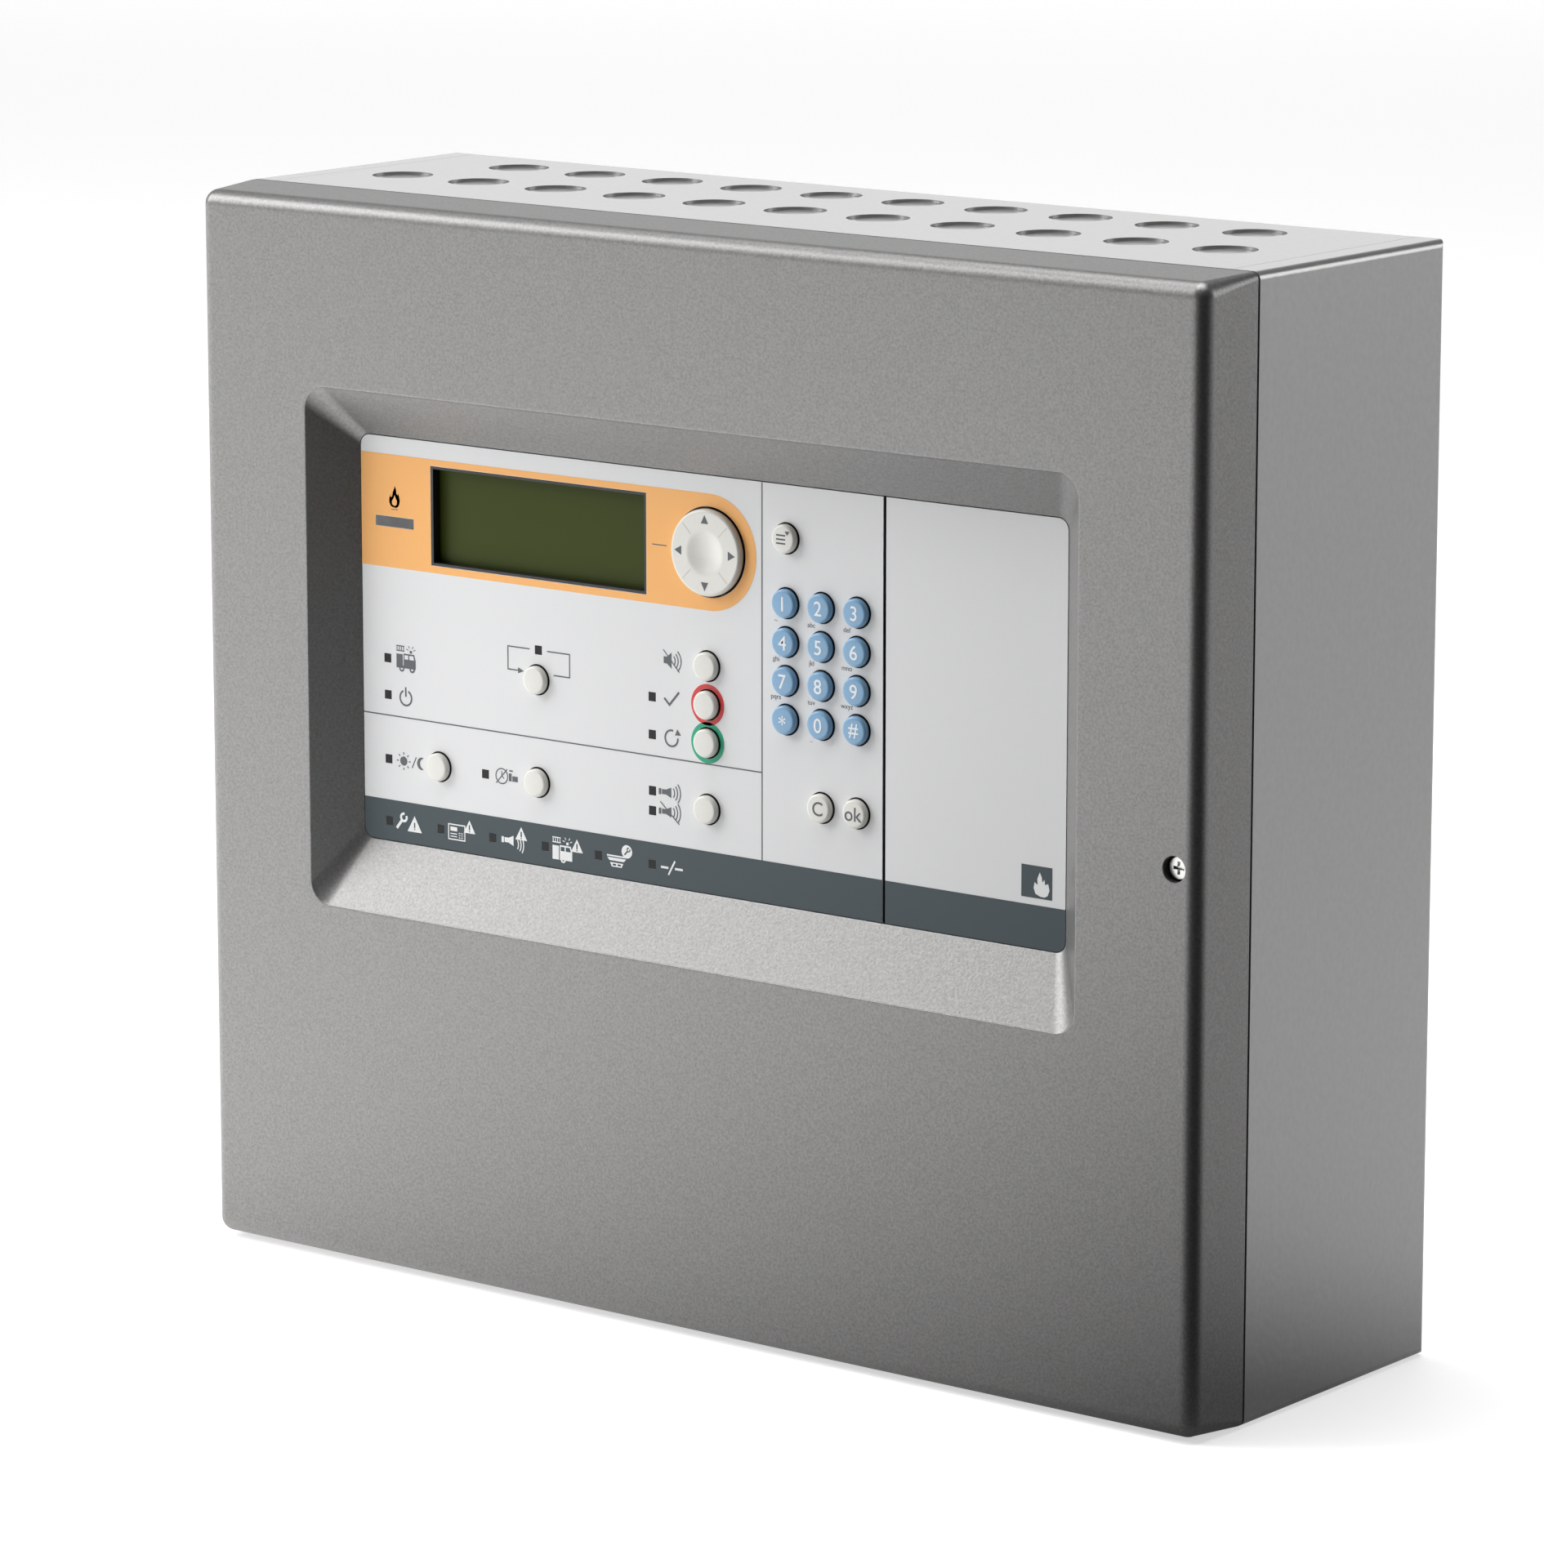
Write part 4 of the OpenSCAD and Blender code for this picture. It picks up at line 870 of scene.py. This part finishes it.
flame = [
    (0.0, -4.0), (-1.7, -3.6), (-2.6, -2.2), (-2.7, -0.6), (-1.9, 1.0), (-1.7, -0.2),
    (-1.1, 0.6), (-0.9, 2.0), (-0.2, 3.2), (0.2, 4.6), (0.9, 3.0), (1.0, 1.6),
    (1.5, 0.9), (1.8, 1.8), (2.5, 0.2), (2.7, -1.4), (2.1, -3.2), (1.2, -3.9),
]
flame_heart = [
    (0.0, -3.3), (-1.2, -2.7), (-1.3, -1.5), (-0.5, -0.4), (0.1, 0.9), (0.6, -0.2), (1.2, -1.3), (1.1, -2.7),
]
flame_mark = [flame, flame_heart] + stroke([(-1.6, -4.6), (1.6, -4.6)], 0.35)
printed("flame_mark", moved(flame_mark, -128.3, 47.6, 0.86), line_ink)


def waves(x, z, radii, width=0.42, spread=42):
    shapes = []
    for r in radii:
        shapes += stroke(circle(x, z, r, -spread, spread, 10), width)
    return shapes


def engine(x, z):
    """A fire engine without wheels: box body, cab with two windows, ladder and flashing light."""
    shapes = [rectangle(x - 4.1, z - 2.7, x - 1.4, z + 1.9)]
    shapes += [[
        (x - 1.0, z - 2.7), (x + 4.2, z - 2.7), (x + 4.2, z + 0.2), (x + 3.6, z + 2.2), (x - 1.0, z + 2.2),
    ]]
    shapes += [rectangle(x - 0.6, z + 0.3, x + 1.0, z + 1.7)]
    shapes += [[(x + 1.5, z + 0.3), (x + 3.6, z + 0.3), (x + 3.2, z + 1.7), (x + 1.5, z + 1.7)]]
    shapes += stroke([(x - 4.1, z + 4.6), (x - 0.6, z + 4.6)], 0.35)
    shapes += stroke([(x - 4.1, z + 3.0), (x - 0.6, z + 3.0)], 0.35)
    for k in range(4):
        shapes += stroke([(x - 3.8 + k * 0.95, z + 3.2), (x - 3.8 + k * 0.95, z + 4.4)], 0.3)
    shapes += [rectangle(x + 1.7, z + 2.5, x + 2.7, z + 3.4)]
    for a in (20, 60, 120, 160):
        c = math.cos(math.radians(a))
        s = math.sin(math.radians(a))
        ray = [(x + 2.2 + 1.2 * c, z + 3.1 + 1.2 * s), (x + 2.2 + 2.1 * c, z + 3.1 + 2.1 * s)]
        shapes += stroke(ray, 0.28)
    return shapes


def wheel(x, z, r):
    return [circle(x, z, r, 0, 360, 20), circle(x, z, r * 0.5, 0, 360, 16)]


def loudspeaker(x, z):
    return [[
        (x - 2.2, z - 1.1), (x - 0.9, z - 1.1), (x + 1.0, z - 2.6),
        (x + 1.0, z + 2.6), (x - 0.9, z + 1.1), (x - 2.2, z + 1.1),
    ]]


def horn(x, z):
    return [
        rectangle(x - 4.2, z - 1.0, x - 3.2, z + 1.0),
        [(x - 2.9, z - 0.8), (x - 1.2, z - 0.8), (x + 0.9, z - 1.7), (x + 0.9, z + 1.7), (x - 1.2, z + 0.8),
         (x - 2.9, z + 0.8)],
    ]


def warning(x, z, r=2.7):
    """A triangle with an exclamation mark left open in it."""
    triangle = [
        (x + r * math.cos(math.radians(a)), z + r * math.sin(math.radians(a))) for a in (90, 210, 330)
    ]
    bar = rectangle(x - 0.28, z - 0.45, x + 0.28, z + 1.35)
    dot = rectangle(x - 0.28, z - 1.05, x + 0.28, z - 0.68)
    return [triangle, bar, dot]


marks = engine(-124.1, -6.2)
marks += stroke(circle(-124.3, -18.8, 2.5, 115, 425, 28), 0.62)
marks += stroke([(-124.3, -18.4), (-124.3, -15.2)], 0.62)
marks += stroke([(-71.0, 3.6), (-80.2, 3.6), (-80.2, -4.0), (-75.8, -4.0)], 0.42)
marks += [[(-75.9, -5.0), (-73.4, -4.0), (-75.9, -3.0)]]
marks += stroke([(-63.6, 3.6), (-54.2, 3.6), (-54.2, -4.0), (-60.9, -4.0)], 0.42)
marks += loudspeaker(-13.0, 6.4)
marks += waves(-12.4, 6.4, (1.9, 3.1, 4.3), 0.40, 48)
marks += stroke([(-15.4, 9.7), (-8.8, 2.9)], 0.35)
marks += stroke([(-15.0, -6.0), (-12.9, -8.0), (-9.0, -3.6)], 0.72)
marks += stroke(circle(-12.1, -18.8, 2.6, 75, 365, 28), 0.62)
marks += [[(-10.7, -17.7), (-8.2, -17.5), (-9.7, -15.6)]]
marks += [circle(-125.5, -40.1, 1.55, 0, 360, 24)]
for k in range(8):
    c = math.cos(math.radians(45 * k))
    s = math.sin(math.radians(45 * k))
    marks += stroke([(-125.5 + 2.2 * c, -40.1 + 2.2 * s), (-125.5 + 3.0 * c, -40.1 + 3.0 * s)], 0.40)
marks += stroke([(-121.9, -42.0), (-120.0, -38.2)], 0.40)
moon = circle(-117.6, -40.1, 2.1, 70, 290, 20)
moon += circle(-116.7, -40.1, 1.75, 250, 110, 16)
marks += [moon]
marks += stroke(circle(-83.2, -39.9, 2.5, 0, 360, 28), 0.40, True)
marks += stroke([(-85.6, -42.4), (-80.9, -37.4)], 0.38)
marks += stroke([(-83.2, -38.2), (-83.2, -39.9), (-82.2, -40.6)], 0.35)
marks += [rectangle(-80.2, -41.2, -79.0, -38.6), rectangle(-78.7, -41.2, -76.4, -39.4)]
marks += [rectangle(-80.0, -38.0, -78.5, -37.5)]
marks += horn(-13.2, -36.6)
marks += waves(-13.2, -36.6, (2.3, 3.5, 4.7), 0.40, 40)
marks += horn(-13.2, -43.0)
marks += waves(-13.2, -43.0, (2.3, 3.5, 4.7), 0.40, 40)
marks += stroke([(-16.8, -39.9), (-9.0, -46.6)], 0.38)
printed("panel_marks", marks, line_ink)
wheels = wheel(-125.9, -9.0, 1.15) + wheel(-121.4, -9.0, 1.15)
printed("engine_wheels", wheels, line_ink, y=ink_y - ink_t)

wrench = stroke([(led_x[0] + 3.2, band_z - 2.0), (led_x[0] + 5.6, band_z + 1.0)], 1.0)
wrench += stroke(circle(led_x[0] + 6.3, band_z + 1.9, 1.25, 75, 390, 18), 0.85)
marks = wrench + warning(led_x[0] + 11.0, band_z - 0.7, 3.6)
x = led_x[1]
marks += [rectangle(x + 3.2, band_z - 2.9, x + 10.6, band_z + 2.5)]
marks += [rectangle(x + 3.6, band_z - 2.5, x + 10.2, band_z + 2.1)]
marks += [rectangle(x + 4.2, band_z + 0.1, x + 7.1, band_z + 1.5)]
marks += stroke([(x + 4.2, band_z - 0.8), (x + 7.0, band_z - 0.8)], 0.3)
marks += stroke([(x + 4.2, band_z - 1.7), (x + 7.0, band_z - 1.7)], 0.3)
for i in range(3):
    for k in range(3):
        marks += [circle(x + 8.0 + 0.75 * i, band_z - 1.9 + 0.75 * k, 0.22, 0, 360, 8)]
marks += warning(x + 12.4, band_z + 1.6, 2.9)
x = led_x[2]
marks += horn(x + 8.0, band_z + 0.1)
marks += waves(x + 8.0, band_z - 0.9, (3.0, 4.1, 5.2), 0.42, 30)
marks += warning(x + 12.2, band_z + 2.2, 2.9)
x = led_x[3]
marks += engine(x + 7.2, band_z - 0.9)
marks += warning(x + 13.4, band_z + 1.2, 2.9)
x = led_x[4]
marks += stroke([(x + 3.6, band_z + 0.7), (x + 11.4, band_z + 0.7)], 0.5)
marks += [[
    (x + 3.7, band_z + 0.1), (x + 11.6, band_z + 0.1), (x + 10.6, band_z - 0.9), (x + 4.7, band_z - 0.9),
]]
marks += [[
    (x + 4.9, band_z - 1.5), (x + 10.4, band_z - 1.5), (x + 9.7, band_z - 2.9), (x + 5.6, band_z - 2.9),
]]
marks += [rectangle(x + 6.0, band_z - 2.5, x + 7.4, band_z - 1.9)]
marks += [rectangle(x + 8.0, band_z - 2.5, x + 9.4, band_z - 1.9)]
x = led_x[5]
marks += stroke([(x + 3.6, band_z - 0.3), (x + 6.7, band_z - 0.3)], 0.75)
marks += stroke([(x + 9.4, band_z - 0.3), (x + 12.6, band_z - 0.3)], 0.75)
marks += stroke([(x + 6.7, band_z - 2.6), (x + 9.4, band_z + 2.2)], 0.62)
printed("band_marks", marks, white_ink, y=ink_y - ink_t)
printed("band_wheels", wheel(led_x[3] + 7.6, band_z - 3.4, 1.1), white_ink, y=ink_y - 2 * ink_t)
printed("service_disc", [circle(led_x[4] + 11.9, band_z + 2.7, 2.2, 0, 360, 28)], white_ink, y=ink_y - ink_t)
service = stroke([(led_x[4] + 10.9, band_z + 1.6), (led_x[4] + 12.3, band_z + 3.0)], 0.5)
service += stroke(circle(led_x[4] + 12.6, band_z + 3.4, 0.6, 75, 390, 12), 0.4)
printed("service_wrench", service, slate_ink, y=ink_y - 2 * ink_t)
printed("plate_square", [rectangle(126, -51.6, 137.7, -41.4)], slate_ink)
tongues = [
    (133.2, -50.9), (131.4, -50.2), (130.7, -48.4), (131.1, -46.6), (132.2, -47.4),
    (132.1, -45.4), (133.0, -43.3), (133.8, -44.9), (134.0, -46.4), (134.8, -45.4),
    (135.0, -47.0), (136.2, -46.6), (136.7, -48.6), (136.0, -50.4), (134.8, -51.0),
]
printed("square_flame", [tongues], white_ink, y=ink_y - ink_t)

# ------------------------------------------------------------------ keys and buttons
# Moulded caps with a softly rounded crown and a collar behind the plate; the keypad's are blue with a
# white character on top, the others warm white. Each cap moves by itself, so each is its own piece.
key_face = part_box("key_1")[0][1]
cap_r = 4.65 * mm
collar_r = cap_r + 1.1 * mm
collar_front = plate_back + 0.1 * mm
legends = {
    "key_1": ("1", "~"), "key_2": ("2", "abc"), "key_3": ("3", "def"),
    "key_4": ("4", "ghi"), "key_5": ("5", "jkl"), "key_6": ("6", "mno"),
    "key_7": ("7", "pqrs"), "key_8": ("8", "tuv"), "key_9": ("9", "wxyz"),
    "key_star": ("*", ""), "key_0": ("0", "_"), "key_hash": ("#", ""),
    "menu_button": ("", ""), "clear_button": ("C", ""), "ok_button": ("ok", ""),
    "loop_button": ("", ""), "silence_button": ("", ""), "acknowledge_button": ("", ""),
    "reset_button": ("", ""), "day_night_button": ("", ""), "delay_off_button": ("", ""),
    "sounder_button": ("", ""),
}


def cap_profile():
    """From the crown's middle over its rounded edge to the collar and back."""
    crown = 0.10 * mm
    edge = 0.95 * mm
    flat_r = cap_r - edge
    points = [(0, key_face)]
    for k in range(1, 7):
        t = k / 6
        points.append((flat_r * t, key_face + crown * t * t))
    for k in range(1, 9):
        a = math.radians(90 * k / 8)
        points.append((flat_r + edge * math.sin(a), key_face + crown + edge * (1 - math.cos(a))))
    points += [
        (cap_r, plate_back - 0.1 * mm),
        (cap_r, collar_front),
        (collar_r - 0.1 * mm, collar_front),
        (collar_r, collar_front + 0.1 * mm),
        (collar_r, collar_front + 0.85 * mm),
        (collar_r - 0.1 * mm, collar_front + 0.95 * mm),
        (0, collar_front + 0.95 * mm),
    ]
    return points


def cap_mesh(name):
    return mesh_from(name, lambda bm: lathe(bm, cap_profile(), 64, lambda u, v, along: (u, along, v)))


for node, (sign, small) in legends.items():
    low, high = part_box(node)
    cx = (low[0] + high[0]) / 2
    cz = (low[2] + high[2]) / 2
    on_keypad = node.startswith("key_")
    surface = blue_cap_plastic if on_keypad else white_cap_plastic
    cap = new_object(node + "_moulding", cap_mesh(node))
    cap.data.transform(Matrix.Translation((cx, 0, cz)))
    finished(cap, surface, 50, node + "_cap")
    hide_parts(node)
    place_x = cx / mm
    place_z = (cz - panel_z) / mm
    if sign:
        big = 6.6 if on_keypad else 6.4
        ink = key_ink if on_keypad else line_ink
        lettered(node + "_sign", sign, place_x, place_z, big, ink, key_face + 0.02 * mm, 0.05 * mm,
                 node + "_cap", 0.03)
    if small:
        lettered(node + "_letters", small, place_x - 4.2, place_z - 5.9, 2.3, line_ink, ink_y, ink_t, "door")

menu_x = 34.4
menu_z = 50.6
menu = []
for k in range(3):
    menu += stroke([(menu_x - 2.4, menu_z + 1.2 - 1.3 * k), (menu_x + 1.2, menu_z + 1.2 - 1.3 * k)], 0.5)
menu += [[(menu_x + 1.0, menu_z + 2.6), (menu_x + 2.8, menu_z + 2.6), (menu_x + 1.9, menu_z + 1.3)]]
printed("menu_button_sign", menu, line_ink, "menu_button_cap", key_face + 0.02 * mm, 0.05 * mm)

# ------------------------------------------------------------------ navigation pad
# A round white rocker with a dished middle, a rounded rim, four grey arrows and, between them, four
# fine pale grey lines painted as the shade of a groove.
nav_low, nav_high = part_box("nav_pad")
nav_face = nav_low[1]
nav_r = 14 * mm
nav_cx = nav_x * mm
nav_cz = panel_z + nav_z * mm


def nav_profile():
    """From the dished middle over the rim to the flange behind the plate and back."""
    points = []
    dish_r = 7.2 * mm
    dish = 1.1 * mm
    rim_r = 1.1 * mm
    for k in range(11):
        t = k / 10
        points.append((dish_r * t, nav_face + dish * (1 - t * t) ** 1.2))
    points.append((dish_r + 0.5 * mm, nav_face))
    for k in range(9):
        a = math.radians(90 * k / 8)
        points.append((nav_r - rim_r * (1 - math.sin(a)), nav_face + rim_r * (1 - math.cos(a))))
    flange_front = nav_high[1] - 0.8 * mm
    flange_r = nav_r + 1.4 * mm
    hollow_r = nav_r - 1.6 * mm
    hollow_front = nav_face + 3.4 * mm
    points += [(nav_r, flange_front), (flange_r, flange_front), (flange_r, nav_high[1])]
    points += [(hollow_r, nav_high[1]), (hollow_r, hollow_front), (0, hollow_front)]
    return points


pad = new_object("rocker", mesh_from(
    "rocker", lambda bm: lathe(bm, nav_profile(), 96, in_front(nav_cx, nav_cz))
))
finished(pad, white_cap_plastic, 50, "nav")
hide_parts("nav_pad")

arrows = []
groove_shade_lines = []
tip = 12.2
base = 9.4
side = 1.5
corners = [(tip, 0), (base, side), (base, -side)]
for k in range(4):
    a = math.radians(90 * k)
    c = math.cos(a)
    s = math.sin(a)
    arrows.append([(nav_x + u * c - v * s, nav_z + u * s + v * c) for u, v in corners])
    a = math.radians(90 * k + 45)
    c = math.cos(a)
    s = math.sin(a)
    groove_shade_lines += stroke([(nav_x + 8.0 * c, nav_z + 8.0 * s), (nav_x + 12.7 * c, nav_z + 12.7 * s)], 0.28)
printed("rocker_arrows", arrows, line_ink, "nav", nav_face + 0.01 * mm, 0.04 * mm)
# painted shade: pale grey lines in place of the grooves
printed("rocker_grooves", groove_shade_lines, groove_shade_ink, "nav", nav_face + 0.01 * mm, 0.04 * mm)

# ------------------------------------------------------------------ cables inside
# A grey flat cable of thirteen joined cores runs from the operating board round the hinge side to the main
# board; one red and two black leads join the batteries and the supply.
ribbon_low, ribbon_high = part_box("ribbon_cable")
cores = 13


def ribbon_route():
    """The cable's middle line, from the operating board to the main board."""
    bend = 8 * mm
    x0 = ribbon_high[0] - 0.5 * mm
    x1 = ribbon_low[0] + 0.5 * mm
    middle = (ribbon_low[1] + ribbon_high[1]) / 2
    points = [(x0, ribbon_low[1] + (middle - bend - ribbon_low[1]) * k / 10) for k in range(10)]
    for k in range(9):
        a = math.radians(90 * k / 8)
        points.append((x0 - bend + bend * math.cos(a), middle - bend + bend * math.sin(a)))
    for k in range(1, 8):
        points.append((x0 - bend + (x1 + 2 * bend - x0) * k / 8, middle))
    for k in range(9):
        a = math.radians(90 * k / 8)
        points.append((x1 + bend - bend * math.sin(a), middle + bend - bend * math.cos(a)))
    points += [(x1, middle + bend + (ribbon_high[1] - middle - bend) * k / 10) for k in range(1, 11)]
    return points


def ribbon_mesh(bm):
    route = ribbon_route()
    pitch = (ribbon_high[2] - ribbon_low[2]) / cores
    loops = []
    for i, (x, y) in enumerate(route):
        before = route[max(i - 1, 0)]
        after = route[min(i + 1, len(route) - 1)]
        run = math.hypot(after[0] - before[0], after[1] - before[1])
        nx = (after[1] - before[1]) / run
        ny = -(after[0] - before[0]) / run
        edge = []
        for core in range(cores):
            for t in (0.06, 0.25, 0.5, 0.75, 0.94):
                edge.append((ribbon_low[2] + pitch * (core + t), 0.5 * mm * math.sin(math.pi * t) ** 0.6))
        loop = [(x + nx * r, y + ny * r, z) for z, r in edge]
        loop += [(x - nx * r, y - ny * r, z) for z, r in reversed(edge)]
        loops.append(loop)
    loft(bm, loops, False)


ribbon = new_object("flat_cable", mesh_from("flat_cable", ribbon_mesh))
ribbon.data.materials.append(ribbon_plastic)
smooth_edges(ribbon, 50)
settle(ribbon)
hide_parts("ribbon_cable")
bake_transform(ribbon)


def lead_piece(name, routes, radius, surface):
    """Round leads along smooth curves through points in millimetres, as one piece on the cabinet."""
    curve = bpy.data.curves.new(name, "CURVE")
    curve.dimensions = "3D"
    curve.bevel_depth = radius * mm
    curve.bevel_resolution = 4
    curve.use_fill_caps = True
    curve.resolution_u = 10
    for route in routes:
        spline = curve.splines.new("BEZIER")
        spline.bezier_points.add(len(route) - 1)
        for point, place in zip(spline.bezier_points, route):
            point.co = [c * mm for c in place]
            point.handle_left_type = "AUTO"
            point.handle_right_type = "AUTO"
    source = new_object(name + "_line", curve)
    depsgraph = bpy.context.evaluated_depsgraph_get()
    mesh = bpy.data.meshes.new_from_object(source.evaluated_get(depsgraph))
    bpy.data.objects.remove(source)
    mesh.materials.clear()
    piece = new_object(name, mesh)
    finished(piece, surface, 50, "cabinet")
    return piece


lead_r = 1.3
red_lead = lead_piece("red_lead", [[
    (97.5, -42, -76.3), (97.5, -43, -69.3), (107.5, -50, -59.8), (114.5, -50, -27.8), (117.5, -47, -5),
    (139.5, -29.3, 5), (154.5, -19.3, -2), (157.5, -15.3, -12),
]], lead_r, lead_red)
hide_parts("battery_leads")
lead_piece("black_leads", [
    [
        (-183.5, -42, -76.3), (-183.5, -42, -68.3), (-169.5, -42, -57.8), (-41.5, -42, -57.8),
        (85.5, -42, -57.8), (108.5, -42, -51.8), (114.5, -38, -27.8), (116.5, -34, -5),
        (129.5, -25.3, 6), (143.5, -17.3, 0), (145.5, -15.3, -12),
    ],
    [(-56.5, -42, -76.3), (-56.5, -42, -70.3), (-43, -42, -65.3), (-29.5, -42, -70.3), (-29.5, -42, -76.3)],
], lead_r, lead_black)


def block(bm, low, high, c):
    """A box with small chamfers on the edges along Z."""
    outline = [
        (low[0] + c, low[1]), (high[0] - c, low[1]), (high[0], low[1] + c), (high[0], high[1] - c),
        (high[0] - c, high[1]), (low[0] + c, high[1]), (low[0], high[1] - c), (low[0], low[1] + c),
    ]
    loft(bm, [[(x, y, low[2]) for x, y in outline], [(x, y, high[2]) for x, y in outline]], False)


sleeve_points = [(x * mm, -42 * mm, -76.3 * mm) for x in (-183.5, -56.5, -29.5, 97.5)]
set_out(
    "blade_sleeves", sleeve_points,
    lambda bm: block(bm, (-3.9 * mm, -1.5 * mm, -6.3 * mm), (3.9 * mm, 1.5 * mm, 2.6 * mm), 0.8 * mm),
    lead_black, "cabinet",
)

# ------------------------------------------------------------------ parts on the main board
# Chips, upright capacitors and small resistors soldered to the green board between its terminals, its
# relays and the processor module.
board_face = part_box("main_board")[0][1]
chip_places = [(-140, 38), (-112, 38), (-140, 14), (-84, 14), (-50, 38), (-46, -20)]
set_out(
    "board_chips", [(x * mm, board_face, z * mm) for x, z in chip_places],
    lambda bm: block(bm, (-5.5 * mm, -1.7 * mm, -5.5 * mm), (5.5 * mm, 0.05 * mm, 5.5 * mm), 0.3 * mm),
    black_plastic, "cabinet",
)
can_places = [(-124 + 9.5 * i, -2) for i in range(5)] + [(-34, -4), (-34, -16), (-26, 44), (-26, 30)]
can_r = 3.1 * mm
can_profile = [
    (0, 0.05 * mm), (can_r, 0.05 * mm), (can_r, -1.2 * mm), (2.85 * mm, -1.6 * mm),
    (can_r, -2.0 * mm), (can_r, -7.6 * mm), (2.7 * mm, -8 * mm), (0, -8 * mm),
]
set_out(
    "board_capacitors", [(x * mm, board_face, z * mm) for x, z in can_places],
    lambda bm: lathe(bm, can_profile, 24, lambda u, v, along: (u, along, v)),
    lead_black, "cabinet", turn=1.5,
)
small_places = [(-160 + 6 * i, 52 + 3.4 * k) for i in range(21) for k in range(2)]
small_places += [(-100 + 5 * i, 26 + 4 * k) for i in range(8) for k in range(2)]
small_places += [(-60 + 4.5 * i, -32 - 4 * k) for i in range(7) for k in range(3)]
set_out(
    "board_resistors", [(x * mm, board_face, z * mm) for x, z in small_places],
    lambda bm: block(bm, (-1.5 * mm, -0.6 * mm, -0.8 * mm), (1.5 * mm, 0.05 * mm, 0.8 * mm), 0.15 * mm),
    zinc_plate, "cabinet",
)
